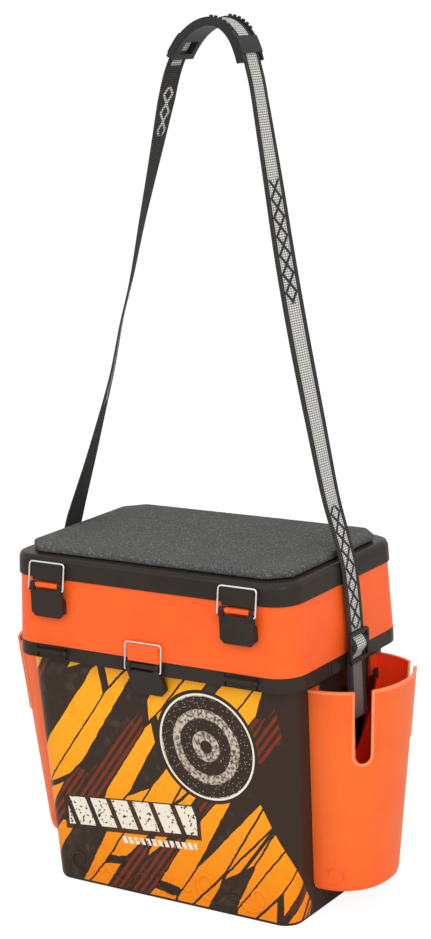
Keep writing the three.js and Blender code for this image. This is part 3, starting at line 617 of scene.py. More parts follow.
@dataclass(frozen=True)
class FleckedFoam:
    """Closed-cell foam with pale flecks."""

    name: str = "flecked_foam"
    colour: Colour = (0.125, 0.126, 0.122)
    dark: Colour = (0.055, 0.055, 0.054)
    fleck: Colour = (0.3, 0.3, 0.29)
    clouds: Pair = (25.0, 4.0)
    cloud_span: Pair = (0.3, 0.7)
    cloud_share: float = 0.2
    grain: Pair = (700.0, 3.0)
    grain_span: Pair = (0.38, 0.66)
    fleck_scale: float = 380.0
    fleck_size: float = 0.25
    fleck_share: float = 0.75
    fleck_groups: Pair = (160.0, 2.0)
    group_from: float = 0.46
    roughness: float = 0.92
    grain_spread: float = 0.08
    pore_scale: float = 430.0
    pore_depth: float = 0.35 * MM
    pore_strength: float = 0.8
    gloss: float = 0.2

    def build(self) -> Material:
        """Makes the material.

        Returns:
            The material.
        """
        recipe = Recipe(self.name)
        clouds = recipe.noise(self.clouds).ramp(self.cloud_span)
        pores = recipe.cells(self.pore_scale)
        grain = recipe.noise(self.grain)
        groups = recipe.noise(self.fleck_groups) > self.group_from
        flecks = (recipe.cells(self.fleck_scale) < self.fleck_size) * groups
        colour = recipe.blend(grain.ramp(self.grain_span), self.dark, self.colour)
        colour = recipe.blend(clouds * self.cloud_share, colour, self.colour)
        return recipe.finish(
            Base_Color=recipe.blend(flecks * self.fleck_share, colour, self.fleck),
            Roughness=self.roughness - self.grain_spread * grain,
            Normal=recipe.bump(pores + grain, self.pore_depth, self.pore_strength),
            Specular_IOR_Level=self.gloss,
        )


@dataclass(frozen=True)
class WovenStrap:
    """Webbing with a grey middle, black edges, cross ribs and woven chains of lozenges.

    The webbing's points carry their places in the weave, as Strap.weave gives them.
    """

    name: str = "woven_strap"
    grey: Colour = (0.84, 0.83, 0.81)
    grey_shade: Colour = (0.18, 0.176, 0.17)
    black: Colour = (0.015, 0.0145, 0.014)
    black_shade: Colour = (0.07, 0.068, 0.066)
    stripe_share: float = 0.62
    fray_share: float = 0.05
    half_rib: float = 1.25 * MM
    rib_span: Pair = (0.05, 0.6)
    thread_share: float = 0.115
    thread_span: Pair = (0.0, 0.5)
    fuzz: Pair = (1300.0, 2.0)
    fuzz_share: float = 0.6
    lozenge: float = 9.5 * MM
    lozenge_slope: float = 1.9
    lozenge_band: Pair = (0.98, 0.27)
    roughness: float = 0.85
    depth: float = 0.4 * MM
    gloss: float = 0.15

    def build(self) -> Material:
        """Makes the material.

        Returns:
            The material.
        """
        recipe = Recipe(self.name)
        side = recipe.attribute("across")
        across = abs(side)
        along = recipe.attribute("along")
        outer = recipe.attribute("outer")
        rib = along.fold(self.half_rib) / self.half_rib
        thread = side.fold(self.thread_share) / self.thread_share
        fuzz = self.fuzz_share + self.fuzz_share * recipe.noise(self.fuzz)
        weave = rib.ramp(self.rib_span) * thread.ramp(self.thread_span) * fuzz
        band = (across + self.fray_share * rib) < self.stripe_share
        chain = self.lozenge_slope * across + along.fold(self.lozenge) / self.lozenge
        motif = chain.within(*self.lozenge_band) * recipe.attribute("motif")
        light = outer * band * (1.0 - motif) + (1.0 - outer) * band * motif
        light = light.either(recipe.attribute("lining") * band)
        grey = recipe.blend(weave, self.grey_shade, self.grey)
        black = recipe.blend(weave, self.black, self.black_shade)
        return recipe.finish(
            Base_Color=recipe.blend(light, black, grey),
            Roughness=self.roughness,
            Normal=recipe.bump(weave, self.depth),
            Specular_IOR_Level=self.gloss,
        )


@dataclass(frozen=True)
class BrightSteel:
    """Drawn steel wire and pins."""

    name: str = "bright_steel"
    colour: Colour = (0.78, 0.77, 0.75)
    shade: Colour = (0.6, 0.59, 0.58)
    clouds: Pair = (60.0, 2.0)
    cloud_share: float = 0.4
    drawn: Pair = (1.0, 3.0)
    drawn_stretch: Triple = (2400.0, 2400.0, 160.0)
    drawn_depth: float = 0.02 * MM
    drawn_spread: float = 0.14
    roughness: float = 0.2

    def build(self) -> Material:
        """Makes the material.

        Returns:
            The material.
        """
        recipe = Recipe(self.name)
        drawn = recipe.noise(self.drawn, recipe.stretched(self.drawn_stretch))
        clouds = recipe.noise(self.clouds)
        return recipe.finish(
            Base_Color=recipe.blend(clouds * self.cloud_share, self.colour, self.shade),
            Metallic=1.0,
            Roughness=self.roughness + self.drawn_spread * drawn,
            Normal=recipe.bump(drawn, self.drawn_depth),
        )


class Finishes:
    """The seat box's materials."""

    def __init__(self) -> None:
        """Builds each material once."""
        black = MouldedPlastic(
            "black_moulded",
            colour=(0.03, 0.0215, 0.0165),
            shade=(0.024, 0.0175, 0.0135),
            gloss=0.08,
            coat=0.16,
        )
        orange = MouldedPlastic(
            "orange_moulded", colour=(1.0, 0.128, 0.016), shade=(0.96, 0.112, 0.012), roughness=0.4
        )
        thin = MouldedPlastic(
            "orange_thin_wall",
            colour=(1.0, 0.155, 0.022),
            shade=(1.0, 0.135, 0.018),
            roughness=0.4,
            glow=0.3,
        )
        # Painted glow: the pockets' inner faces are a deeper red, standing for light that bounces inside and
        # passes through the thin walls.
        inside = MouldedPlastic(
            "orange_inside_painted_glow", colour=(1.0, 0.075, 0.018), shade=(1.0, 0.06, 0.012), roughness=0.4, glow=0.8
        )
        # Painted highlight: a lighter orange for the pockets' rims and slot borders, standing in for the
        # light that catches their edges.
        painted_highlight_rim = MouldedPlastic("orange_painted_highlight_rim", colour=(1.0, 0.28, 0.11), shade=(0.98, 0.22, 0.08), roughness=0.4)
        rubber = MouldedPlastic(
            "soft_rubber",
            colour=(0.017, 0.017, 0.017),
            shade=(0.012, 0.012, 0.012),
            grain=(900.0, 2.0),
            grain_depth=0.05 * MM,
        )
        self.thin_wall = thin.build()
        self.inside_painted_glow = inside.build()
        self.painted_highlight_rim = painted_highlight_rim.build()
        self.of: dict[Slot, Material] = {
            Slot.BLACK: black.build(),
            Slot.ORANGE: orange.build(),
            Slot.PRINT: PrintedFilm().build(),
            Slot.FOAM: FleckedFoam().build(),
            Slot.WEBBING: WovenStrap().build(),
            Slot.RUBBER: rubber.build(),
            Slot.STEEL: BrightSteel().build(),
        }


# Modelling by operators

MERGE = 0.02 * MM
FLAT_ANGLE = 0.4
ROUNDING_SEGMENTS = 2
SHARP = 50.0
SMOOTH = 35.0
NORMAL_WEIGHT = 50
BEAD_MERGE = 0.01 * MM
BEAD_RESOLUTION = 3
BEAD_SMOOTH = 50.0


def alone(piece: Object) -> None:
    """Selects one object and makes it the active one.

    Args:
        piece: the object.
    """
    bpy.ops.object.select_all(action="DESELECT")
    piece.select_set(True)
    bpy.context.view_layer.objects.active = piece


@contextmanager
def editing(piece: Object) -> Iterator[None]:
    """Opens an object in edit mode, with everything selected.

    Args:
        piece: the object.
    """
    alone(piece)
    bpy.ops.object.mode_set(mode="EDIT")
    bpy.ops.mesh.select_all(action="SELECT")
    yield
    bpy.ops.object.mode_set(mode="OBJECT")


def apply_modifier(piece: Object, kind: str, **settings: object) -> None:
    """Adds a modifier and applies it.

    Args:
        piece: the piece.
        kind: the modifier's type.
        settings: the modifier's settings.
    """
    alone(piece)
    made = piece.modifiers.new(kind.title(), kind)
    for key, value in settings.items():
        setattr(made, key, value)
    bpy.ops.object.modifier_apply(modifier=made.name)


def round_edges(piece: Object, width: float, sharp: float, segments: int, **settings: object) -> None:
    """Rounds a piece's sharp edges.

    Args:
        piece: the piece.
        width: how wide the rounding is.
        sharp: the angle in degrees from which an edge is rounded.
        segments: faces across the rounding.
        settings: the modifier's other settings.
    """
    limit = {"limit_method": "ANGLE", "angle_limit": math.radians(sharp)}
    apply_modifier(piece, "BEVEL", width=width, segments=segments, **limit, **settings)


def smooth_faces(piece: Object, angle: float) -> None:
    """Shades faces as one where they meet at less than an angle in degrees."""
    alone(piece)
    bpy.ops.object.shade_smooth_by_angle(angle=math.radians(angle))


def linked(name: str, data: bpy.types.ID) -> Object:
    """Adds an object to the scene.

    Args:
        name: the object's name.
        data: its mesh, curve, camera or light.

    Returns:
        The object.
    """
    piece = bpy.data.objects.new(name, data)
    bpy.context.scene.collection.objects.link(piece)
    return piece


def primitive(name: str, add: Callable[..., set[str]], **settings: object) -> Object:
    """Adds a mesh primitive, to be shaped further.

    Args:
        name: the piece's name.
        add: the operator that makes it.
        settings: the operator's settings.

    Returns:
        The piece.
    """
    bpy.ops.object.select_all(action="DESELECT")
    add(**settings)
    piece = bpy.context.view_layer.objects.active
    piece.name = name
    return piece


def carry(piece: Object, name: str, values: Sequence[float]) -> None:
    """Gives each of a piece's points a number, under a name that its finish reads."""
    piece.data.attributes.new(name, "FLOAT", "POINT").data.foreach_set("value", values)


def copy_of(node: str, name: str) -> Object:
    """A copy of a CAD node, with its loose triangles merged into one surface.

    Args:
        node: the node's name.
        name: the new piece's name.

    Returns:
        The new piece.
    """
    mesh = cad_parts[node].data.copy()
    mesh.name = name
    mesh.materials.clear()
    piece = linked(name, mesh)
    with editing(piece):
        bpy.ops.mesh.customdata_custom_splitnormals_clear()
        bpy.ops.mesh.remove_doubles(threshold=MERGE)
        bpy.ops.mesh.dissolve_limited(angle_limit=math.radians(FLAT_ANGLE))
    return piece


def soften(piece: Object, width: float, sharp: float = SHARP, smooth: float = SMOOTH) -> None:
    """Rounds the sharp edges of a moulded piece and smooths its round faces.

    Args:
        piece: the piece.
        width: how wide the rounding is, or 0 for none.
        sharp: the angle in degrees from which an edge is rounded.
        smooth: the angle in degrees up to which faces shade as one.
    """
    if width:
        corners = {"use_clamp_overlap": True, "miter_outer": "MITER_ARC"}
        round_edges(piece, width, sharp, ROUNDING_SEGMENTS, **corners)
    smooth_faces(piece, smooth)
    apply_modifier(piece, "WEIGHTED_NORMAL", weight=NORMAL_WEIGHT, keep_sharp=True)


def ridge(name: str, points: Sequence[Vector], radius: float) -> Object:
    """A round bead along points, closed at both ends.

    Args:
        name: the piece's name.
        points: the bead's middle line.
        radius: its radius.

    Returns:
        The bead as a mesh.
    """
    curve = bpy.data.curves.new(name, "CURVE")
    curve.dimensions = "3D"
    curve.bevel_depth = radius
    curve.bevel_resolution = BEAD_RESOLUTION
    curve.use_fill_caps = True
    line = curve.splines.new("POLY")
    line.points.add(len(points) - 1)
    for place, point in zip(line.points, points):
        place.co = (*point, 1.0)
    alone(linked(name, curve))
    bpy.ops.object.convert(target="MESH")
    piece = bpy.context.view_layer.objects.active
    with editing(piece):
        bpy.ops.mesh.remove_doubles(threshold=BEAD_MERGE)
        bpy.ops.mesh.normals_make_consistent(inside=False)
    smooth_faces(piece, BEAD_SMOOTH)
    return piece


def joined(name: str, pieces: Sequence[Object]) -> Object:
    """Joins objects into one mesh.

    Args:
        name: the joined piece's name.
        pieces: the objects.

    Returns:
        The joined piece.
    """
    alone(pieces[0])
    for piece in pieces[1:]:
        piece.select_set(True)
    bpy.ops.object.join()
    pieces[0].name = name
    return pieces[0]


def block(name: str, low: Vector, high: Vector) -> Object:
    """A box between two corners.

    Args:
        name: the box's name.
        low: its lowest corner.
        high: its highest corner.

    Returns:
        The box.
    """
    piece = primitive(name, bpy.ops.mesh.primitive_cube_add, size=1.0, location=(low + high) / 2)
    piece.scale = high - low
    bpy.ops.object.transform_apply(location=True, rotation=True, scale=True)
    return piece


@dataclass
class Fitter:
    """Puts finished pieces on their bodies."""

    finishes: Finishes

    def fit(self, piece: Object, body: str, slot: Slot, *nodes: str) -> None:
        """Dresses a piece and fixes it to a body.

        Args:
            piece: the finished piece.
            body: the CAD body that it rides on.
            slot: its finish.
            nodes: the CAD nodes that it stands for.
        """
        piece.data.materials.clear()
        piece.data.materials.append(self.finishes.of[slot])
        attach(piece, body)
        if nodes:
            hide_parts(*nodes)
        LOG.info("%s rides on %s", piece.name, body)

    def repaint(
        self,
        piece: Object,
        material: Material,
        wanted: Callable[[bpy.types.MeshPolygon], bool] = lambda face: True,
    ) -> None:
        """Gives some or all of a piece's faces another material.

        Args:
            piece: the piece.
            material: the faces' material.
            wanted: tells whether a face is one of them.
        """
        piece.data.materials.append(material)
        place = len(piece.data.materials) - 1
        for face in piece.data.polygons:
            if wanted(face):
                face.material_index = place

    def dress(self, node: str, slot: Slot) -> None:
        """Gives a CAD node that stays its finish.

        Args:
            node: the node's name.
            slot: the finish.
        """
        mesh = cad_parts[node].data
        mesh.materials.clear()
        mesh.materials.append(self.finishes.of[slot])
        LOG.info("%s is dressed", node)


# The box


@dataclass(frozen=True)
class Curl:
    """A curl in low relief: a spiral, and a wave that trails from its end to one side."""

    x: float
    z: float
    size: float
    side: Side = Side.RIGHT
    steps: int = 29
    start: float = -30.0
    turn: float = 300.0
    inner_share: float = 0.35
    wave_steps: int = 18
    swell_share: float = 0.3
    reach_share: float = 2.4
    rise_share: float = 0.4

    def line(self) -> list[Pair]:
        """The curl's middle line.

        Returns:
            Its points, each as its way across and its height.
        """
        way = self.side.value
        points = []
        for step in range(self.steps + 1):
            share = step / self.steps
            angle = math.radians(self.start + self.turn * share)
            radius = self.size * (self.inner_share + (1 - self.inner_share) * share)
            points.append((self.x + way * radius * math.cos(angle), self.z + radius * math.sin(angle)))
        last_x, last_z = points[-1]
        for step in range(1, self.wave_steps + 1):
            share = step / self.wave_steps
            swell = self.swell_share * math.sin(share * 2 * math.pi)
            x = last_x + way * self.size * self.reach_share * share
            points.append((x, last_z + self.size * (self.rise_share * share - swell)))
        return points


@dataclass
class Container:
    """The black container, its printed front and its low relief."""

    foot_half: Pair = (152.6 * MM, 92.3 * MM)
    neck_half: Pair = (165.2 * MM, 104.7 * MM)
    foot_corner: float = 19.4 * MM
    neck_corner: float = 26 * MM
    neck_z: float = 260 * MM
    edge: float = 0.5 * MM
    smooth: float = 32.0
    film_low: float = 4.5 * MM
    film_high: float = 259.4 * MM
    film_side: float = 20 * MM
    film_proud: float = 0.15 * MM
    film_thickness: float = 0.45 * MM
    film_columns: int = 96
    film_rows: int = 12
    collar_half: Pair = (176 * MM, 115 * MM)
    collar_low: float = 261 * MM
    collar_high: float = 273.6 * MM
    bar_x: float = 118.5 * MM
    grooves: tuple[Pair, ...] = ((-21.5 * MM, 2.4 * MM), (15.5 * MM, 3.6 * MM))
    groove_depth: float = 1.5 * MM
    overrun: float = 1 * MM
    rib_places: Pair = (-42.5 * MM, -37 * MM)
    rib_radius: float = 0.8 * MM
    curl_radius: float = 1.9 * MM
    curl_gap: float = 1.5 * MM
    curls: tuple[Curl, ...] = (
        Curl(-116 * MM, 27 * MM, 13 * MM),
        Curl(-66 * MM, 33 * MM, 17 * MM),
        Curl(-4 * MM, 26 * MM, 13 * MM),
        Curl(50 * MM, 31 * MM, 16 * MM),
        Curl(112 * MM, 28 * MM, 14 * MM, Side.LEFT),
    )

    def sizes_at(self, z: float) -> Triple:
        """The drafted wall's sizes.

        Args:
            z: the height.

        Returns:
            The half widths and the corner's radius there.
        """
        share = z / self.neck_z
        half_x, half_y = (a + (b - a) * share for a, b in zip(self.foot_half, self.neck_half))
        return half_x, half_y, self.foot_corner + (self.neck_corner - self.foot_corner) * share

    def front_point(self, share: float, z: float) -> tuple[Vector, float]:
        """A point on the front, round its corners and along its sides.

        Args:
            share: from -1 at the left end of the film to 1 at its right end.
            z: the height.

        Returns:
            The point, just proud of the wall, and its run from the middle along the wall.
        """
        half_x, half_y, corner = self.sizes_at(z)
        straight, quarter = half_x - corner, corner * math.pi / 2
        run = abs(share) * (straight + quarter + self.film_side)
        side = math.copysign(1.0, share)
        radius = corner + self.film_proud
        if run <= straight:
            return Vector((side * run, -half_y - self.film_proud, z)), side * run
        if run <= straight + quarter:
            angle = (run - straight) / corner
            x = straight + radius * math.sin(angle)
            y = -(half_y - corner) - radius * math.cos(angle)
            return Vector((side * x, y, z)), side * run
        y = -(half_y - corner) + run - straight - quarter
        return Vector((side * (straight + radius), y, z)), side * run

    def film(self) -> Object:
        """The printed film that wraps round the front's corners.

        Returns:
            The film.
        """
        grid = {"x_subdivisions": self.film_columns, "y_subdivisions": self.film_rows, "size": 2.0}
        piece = primitive("printed_front", bpy.ops.mesh.primitive_grid_add, **grid)
        runs = []
        for vertex in piece.data.vertices:
            share, rise = vertex.co.x, (vertex.co.y + 1) / 2
            z = self.film_low + (self.film_high - self.film_low) * rise
            vertex.co, run = self.front_point(share, z)
            runs.append(run)
        carry(piece, "run", runs)
        apply_modifier(piece, "SOLIDIFY", thickness=self.film_thickness, offset=-1.0)
        soften(piece, 0.0)
        return piece

    def cut_grooves(self, shell: Object) -> None:
        """Cuts the grooves in the collar's front beside the unused bars.

        Args:
            shell: the container, which is cut.
        """
        face = -self.collar_half[1]
        for side in Side:
            for start, width in self.grooves:
                x = side.value * self.bar_x + start
                low = Vector((x, face - self.overrun, self.collar_low))
                high = Vector((x + width, face + self.groove_depth, self.collar_high))
                cutter = block("groove", low, high)
                apply_modifier(shell, "BOOLEAN", object=cutter, operation="DIFFERENCE", solver="EXACT")
                bpy.data.objects.remove(cutter)

    def end_ribs(self) -> Object:
        """The pairs of small upright ribs on the collar's ends.

        Returns:
            The ribs as one piece.
        """
        ribs = []
        for side in Side:
            for place in self.rib_places:
                foot = Vector((side.value * self.collar_half[0], place, self.collar_low))
                head = Vector((side.value * self.collar_half[0], place, self.collar_high))
                ribs.append(ridge("rib", [foot, (foot + head) / 2, head], self.rib_radius))
        return joined("collar_ribs", ribs)

    def relief(self) -> Object:
        """The row of curls in low relief along the front's foot.

        Returns:
            The curls as one piece, which carries its run for the print.
        """
        beads = []
        for number, curl in enumerate(self.curls):
            points = []
            for x, z in curl.line():
                height = max(z, self.film_low + self.curl_gap)
                points.append(Vector((x, -self.sizes_at(height)[1] - self.film_proud, height)))
            beads.append(ridge(f"curl_{number}", points, self.curl_radius))
        piece = joined("foot_relief", beads)
        carry(piece, "run", [vertex.co.x for vertex in piece.data.vertices])
        return piece

    def build(self, fitter: Fitter) -> None:
        """Makes the container's pieces.

        Args:
            fitter: puts them in place.
        """
        shell = copy_of("container", "container_shell")
        self.cut_grooves(shell)
        soften(shell, self.edge, smooth=self.smooth)
        fitter.fit(shell, "container", Slot.BLACK, "container")
        fitter.fit(self.end_ribs(), "container", Slot.BLACK)
        fitter.fit(self.film(), "container", Slot.PRINT, "front_panel")
        fitter.fit(self.relief(), "container", Slot.PRINT)


@dataclass
class Moulding:
    """A moulded CAD piece with rounded edges and smooth faces."""

    node: str
    body: str
    slot: Slot
    edge: float
    sharp: float = SHARP
    smooth: float = SMOOTH

    def build(self, fitter: Fitter) -> None:
        """Makes the piece in its node's place.

        Args:
            fitter: puts it in place.
        """
        piece = copy_of(self.node, f"{self.node}_moulding")
        soften(piece, self.edge, self.sharp, self.smooth)
        fitter.fit(piece, self.body, self.slot, self.node)


@dataclass
class SeatPad:
    """The flecked foam sheet on the lid, crowned and grained on top."""

    top_edge: float = 2.6 * MM
    edge_segments: int = 3
    sharp: float = 30.0
    voxel: float = 2.6 * MM
    smoothing: float = 0.5
    smoothing_rounds: int = 3
    crown: float = 0.9 * MM
    sink: float = 0.3 * MM
    fixed_share: float = 0.3
    grain_depth: float = 0.25 * MM
    grain_scale: float = 380.0
    clouds_scale: float = 140.0
    clouds_share: float = 0.5

    def build(self, fitter: Fitter) -> None:
        """Makes the pad.

        Args:
            fitter: puts it in place.
        """
        low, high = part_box("seat_pad")
        piece = copy_of("seat_pad", "seat_foam_pad")
        round_edges(piece, self.top_edge, self.sharp, self.edge_segments)
        piece.data.remesh_voxel_size = self.voxel
        alone(piece)
        bpy.ops.object.voxel_remesh()
        apply_modifier(piece, "SMOOTH", factor=self.smoothing, iterations=self.smoothing_rounds)
        middle, half = (low + high) / 2, (high - low) / 2
        for vertex in piece.data.vertices:
            rise = (vertex.co.z - low.z) / (high.z - low.z)
            if rise < self.fixed_share:
                continue
            out_x, out_y = ((vertex.co[i] - middle[i]) / half[i] for i in (0, 1))
            crown = self.crown * max(0.0, 1 - out_x**2) * max(0.0, 1 - out_y**2)
            clouds = self.clouds_share * noise.noise(vertex.co * self.clouds_scale)
            grain = clouds + noise.noise(vertex.co * self.grain_scale)
            vertex.co.z += (crown + self.grain_depth * grain - self.sink) * rise
        alone(piece)
        bpy.ops.object.shade_smooth()
        fitter.fit(piece, "lid", Slot.FOAM, "seat_pad")


@dataclass
class Pocket:
    """A side pocket with borders round its slots and a low-relief curl; its rim and borders are a lighter
    orange as painted highlight, and its inside a deeper red as painted glow.
    """

    side: Side
    centre_y: float = 4 * MM
    rim_z: float = 252 * MM
    foot_z: float = 30 * MM
    rim_half: float = 71 * MM
    foot_half: float = 56 * MM
    rim_depth: float = 73.5 * MM
    foot_depth: float = 60 * MM
    power: float = 2.2
    back_gap: float = 0.4 * MM
    edge: float = 0.7 * MM
    smooth: float = 32.0
    slot_width: float = 19.4 * MM
    slot_depth: float = 80 * MM
    slot_angle: float = 36.0
    slot_share: float = 0.735
    border: float = 1.7 * MM
    border_gap: float = 0.4 * MM
    border_steps: int = 16
    search_span: Pair = (5.0, 85.0)
    search_steps: int = 40
    # Height of the band under the rim that takes the painted-highlight orange.
    painted_highlight_rim: float = 2.9 * MM
    floor: float = 3 * MM
    inner_share: float = 0.45
    curl: Curl = Curl(0.0, 50 * MM, 13 * MM, start=200.0, turn=-330.0, inner_share=4 / 13, wave_steps=0)
    curl_angle: float = -70.0
    curl_low: float = 9 * MM
    curl_sunk: float = 0.35 * MM
    curl_radius: float = 1.15 * MM
    box: Container = field(default_factory=Container)

    def skin(self, angle: float, z: float, proud: float = 0.0) -> Vector:
        """A point on the outside.

        Args:
            angle: from -90 degrees at the front to 90 at the rear.
            z: the height.
            proud: how far out of the skin.

        Returns:
            The point.
        """
        share = (z - self.foot_z) / (self.rim_z - self.foot_z)
        half = self.foot_half + (self.rim_half - self.foot_half) * share + proud
        depth = self.foot_depth + (self.rim_depth - self.foot_depth) * share + proud
        back = self.box.sizes_at(z)[0] + self.back_gap
        turn = math.radians(angle)
        out = max(0.0, math.cos(turn)) ** (2 / self.power)
        across = math.copysign(abs(math.sin(turn)) ** (2 / self.power), turn)
        return Vector((self.side.value * (back + depth * out), self.centre_y + half * across, z))

    def at_offset(self, end: End, offset: float, z: float) -> Vector:
        """A point of the skin beside a slot.

        Args:
            end: which slot.
            offset: how far the point lies across the slot's middle plane.
            z: the height.

        Returns:
            The point.
        """
        side, way = self.side.value, end.value
        turn = math.radians(self.slot_angle)
        across = Vector((-way * math.sin(turn), side * math.cos(turn), 0)) * (side * way)
        middle_x = side * (self.box.sizes_at(self.rim_z)[0] + self.slot_share * self.rim_depth)
        middle = Vector((middle_x, self.centre_y + way * self.slot_share * self.rim_half, 0))

        def over(angle: float) -> float:
            """How far past the offset the skin is at an angle."""
            return (self.skin(way * angle, z) - middle).dot(across) - offset

        low, high = self.search_span
        rising = over(high) > over(low)
        for _ in range(self.search_steps):
            mid = (low + high) / 2
            if (over(mid) > 0) == rising:
                high = mid
            else:
                low = mid
        return self.skin(way * (low + high) / 2, z)

    def slot_border(self, end: End) -> Object:
        """The raised border round a slot.

        Args:
            end: which slot.

        Returns:
            The border.
        """
        half = self.slot_width / 2 + self.border_gap
        bottom = self.rim_z - self.slot_depth + self.slot_width / 2
        top = self.rim_z - self.border_gap
        shares = [step / self.border_steps for step in range(self.border_steps + 1)]
        line = [(-half, top + (bottom - top) * share) for share in shares[:-1]]
        for share in shares:
            turn = math.pi * share
            line.append((-half * math.cos(turn), bottom - half * math.sin(turn)))
        line += [(half, bottom + (top - bottom) * share) for share in shares[1:]]
        points = [self.at_offset(end, offset, z) for offset, z in line]
        return ridge(f"border_{end.value}", points, self.border)

    def faces_in(self, face: bpy.types.MeshPolygon) -> bool:
        """Tells whether a face of the shell looks into the pocket.

        Args:
            face: the face.

        Returns:
            Whether it does.
        """
        half_x = self.box.sizes_at(face.center.z)[0]
        middle_x = self.side.value * (half_x + self.inner_share * self.rim_depth)
        way = (Vector((middle_x, self.centre_y, 0)) - face.center).to_2d()
        return face.normal.to_2d().dot(way) > 0 and face.center.z > self.foot_z + self.floor

    def foot_curl(self, name: str) -> Object:
        """The small curl in low relief near the foot of the front.

        Args:
            name: the piece's name.

        Returns:
            The curl.
        """
        points = []
        for x, z in self.curl.line():
            angle = self.curl_angle + math.degrees(x / self.foot_half)
            points.append(self.skin(angle, max(z, self.foot_z + self.curl_low), -self.curl_sunk))
        return ridge(name, points, self.curl_radius)

    def build(self, fitter: Fitter) -> None:
        """Makes the pocket's pieces.

        Args:
            fitter: puts them in place.
        """
        body = f"{self.side.name.lower()}_pocket"
        finishes = fitter.finishes
        shell = copy_of(body, f"{body}_shell")
        soften(shell, self.edge, smooth=self.smooth)
        fitter.fit(shell, body, Slot.ORANGE, body)
        fitter.repaint(shell, finishes.thin_wall)
        # Inner faces take the deeper red of the painted glow.
        fitter.repaint(shell, finishes.inside_painted_glow, self.faces_in)
        # The rim band takes the lighter orange of the painted highlight.
        fitter.repaint(shell, finishes.painted_highlight_rim, lambda face: face.center.z > self.rim_z - self.painted_highlight_rim)
        borders = joined(f"{body}_borders", [self.slot_border(end) for end in End])
        fitter.fit(borders, body, Slot.ORANGE)
        # The slot borders take the painted-highlight orange too.
        fitter.repaint(borders, finishes.painted_highlight_rim)
        fitter.fit(self.foot_curl(f"{body}_curl"), body, Slot.ORANGE)


# The strap

SHORTEST = 1e-6
ACROSS = Vector((0, 1, 0))


def spline(points: Sequence[Vector], step: float) -> list[Vector]:
    """A smooth line through points, by centripetal Catmull-Rom.

    Args:
        points: the points.
        step: about how far apart the new points are.

    Returns:
        The line's points.
    """
    ends = [2 * points[0] - points[1], *points, 2 * points[-1] - points[-2]]
    made = [points[0].copy()]
    for a, b, c, d in zip(ends, ends[1:], ends[2:], ends[3:]):
        knots = [0.0]
        for p, q in ((a, b), (b, c), (c, d)):
            knots.append(knots[-1] + math.sqrt(max((q - p).length, SHORTEST)))
        t0, t1, t2, t3 = knots
        count = max(1, round((c - b).length / step))
        for i in range(1, count + 1):
            t = t1 + (t2 - t1) * i / count
            a1 = a.lerp(b, (t - t0) / (t1 - t0))
            a2 = b.lerp(c, (t - t1) / (t2 - t1))
            a3 = c.lerp(d, (t - t2) / (t3 - t2))
            b1 = a1.lerp(a2, (t - t0) / (t2 - t0))
            b2 = a2.lerp(a3, (t - t1) / (t3 - t1))
            made.append(b1.lerp(b2, (t - t1) / (t2 - t1)))
    return made


@dataclass(frozen=True)
class Station:
    """A place on the webbing's middle line, with the ways across and out of the webbing there."""

    point: Vector
    run: float
    side: Vector
    out: Vector


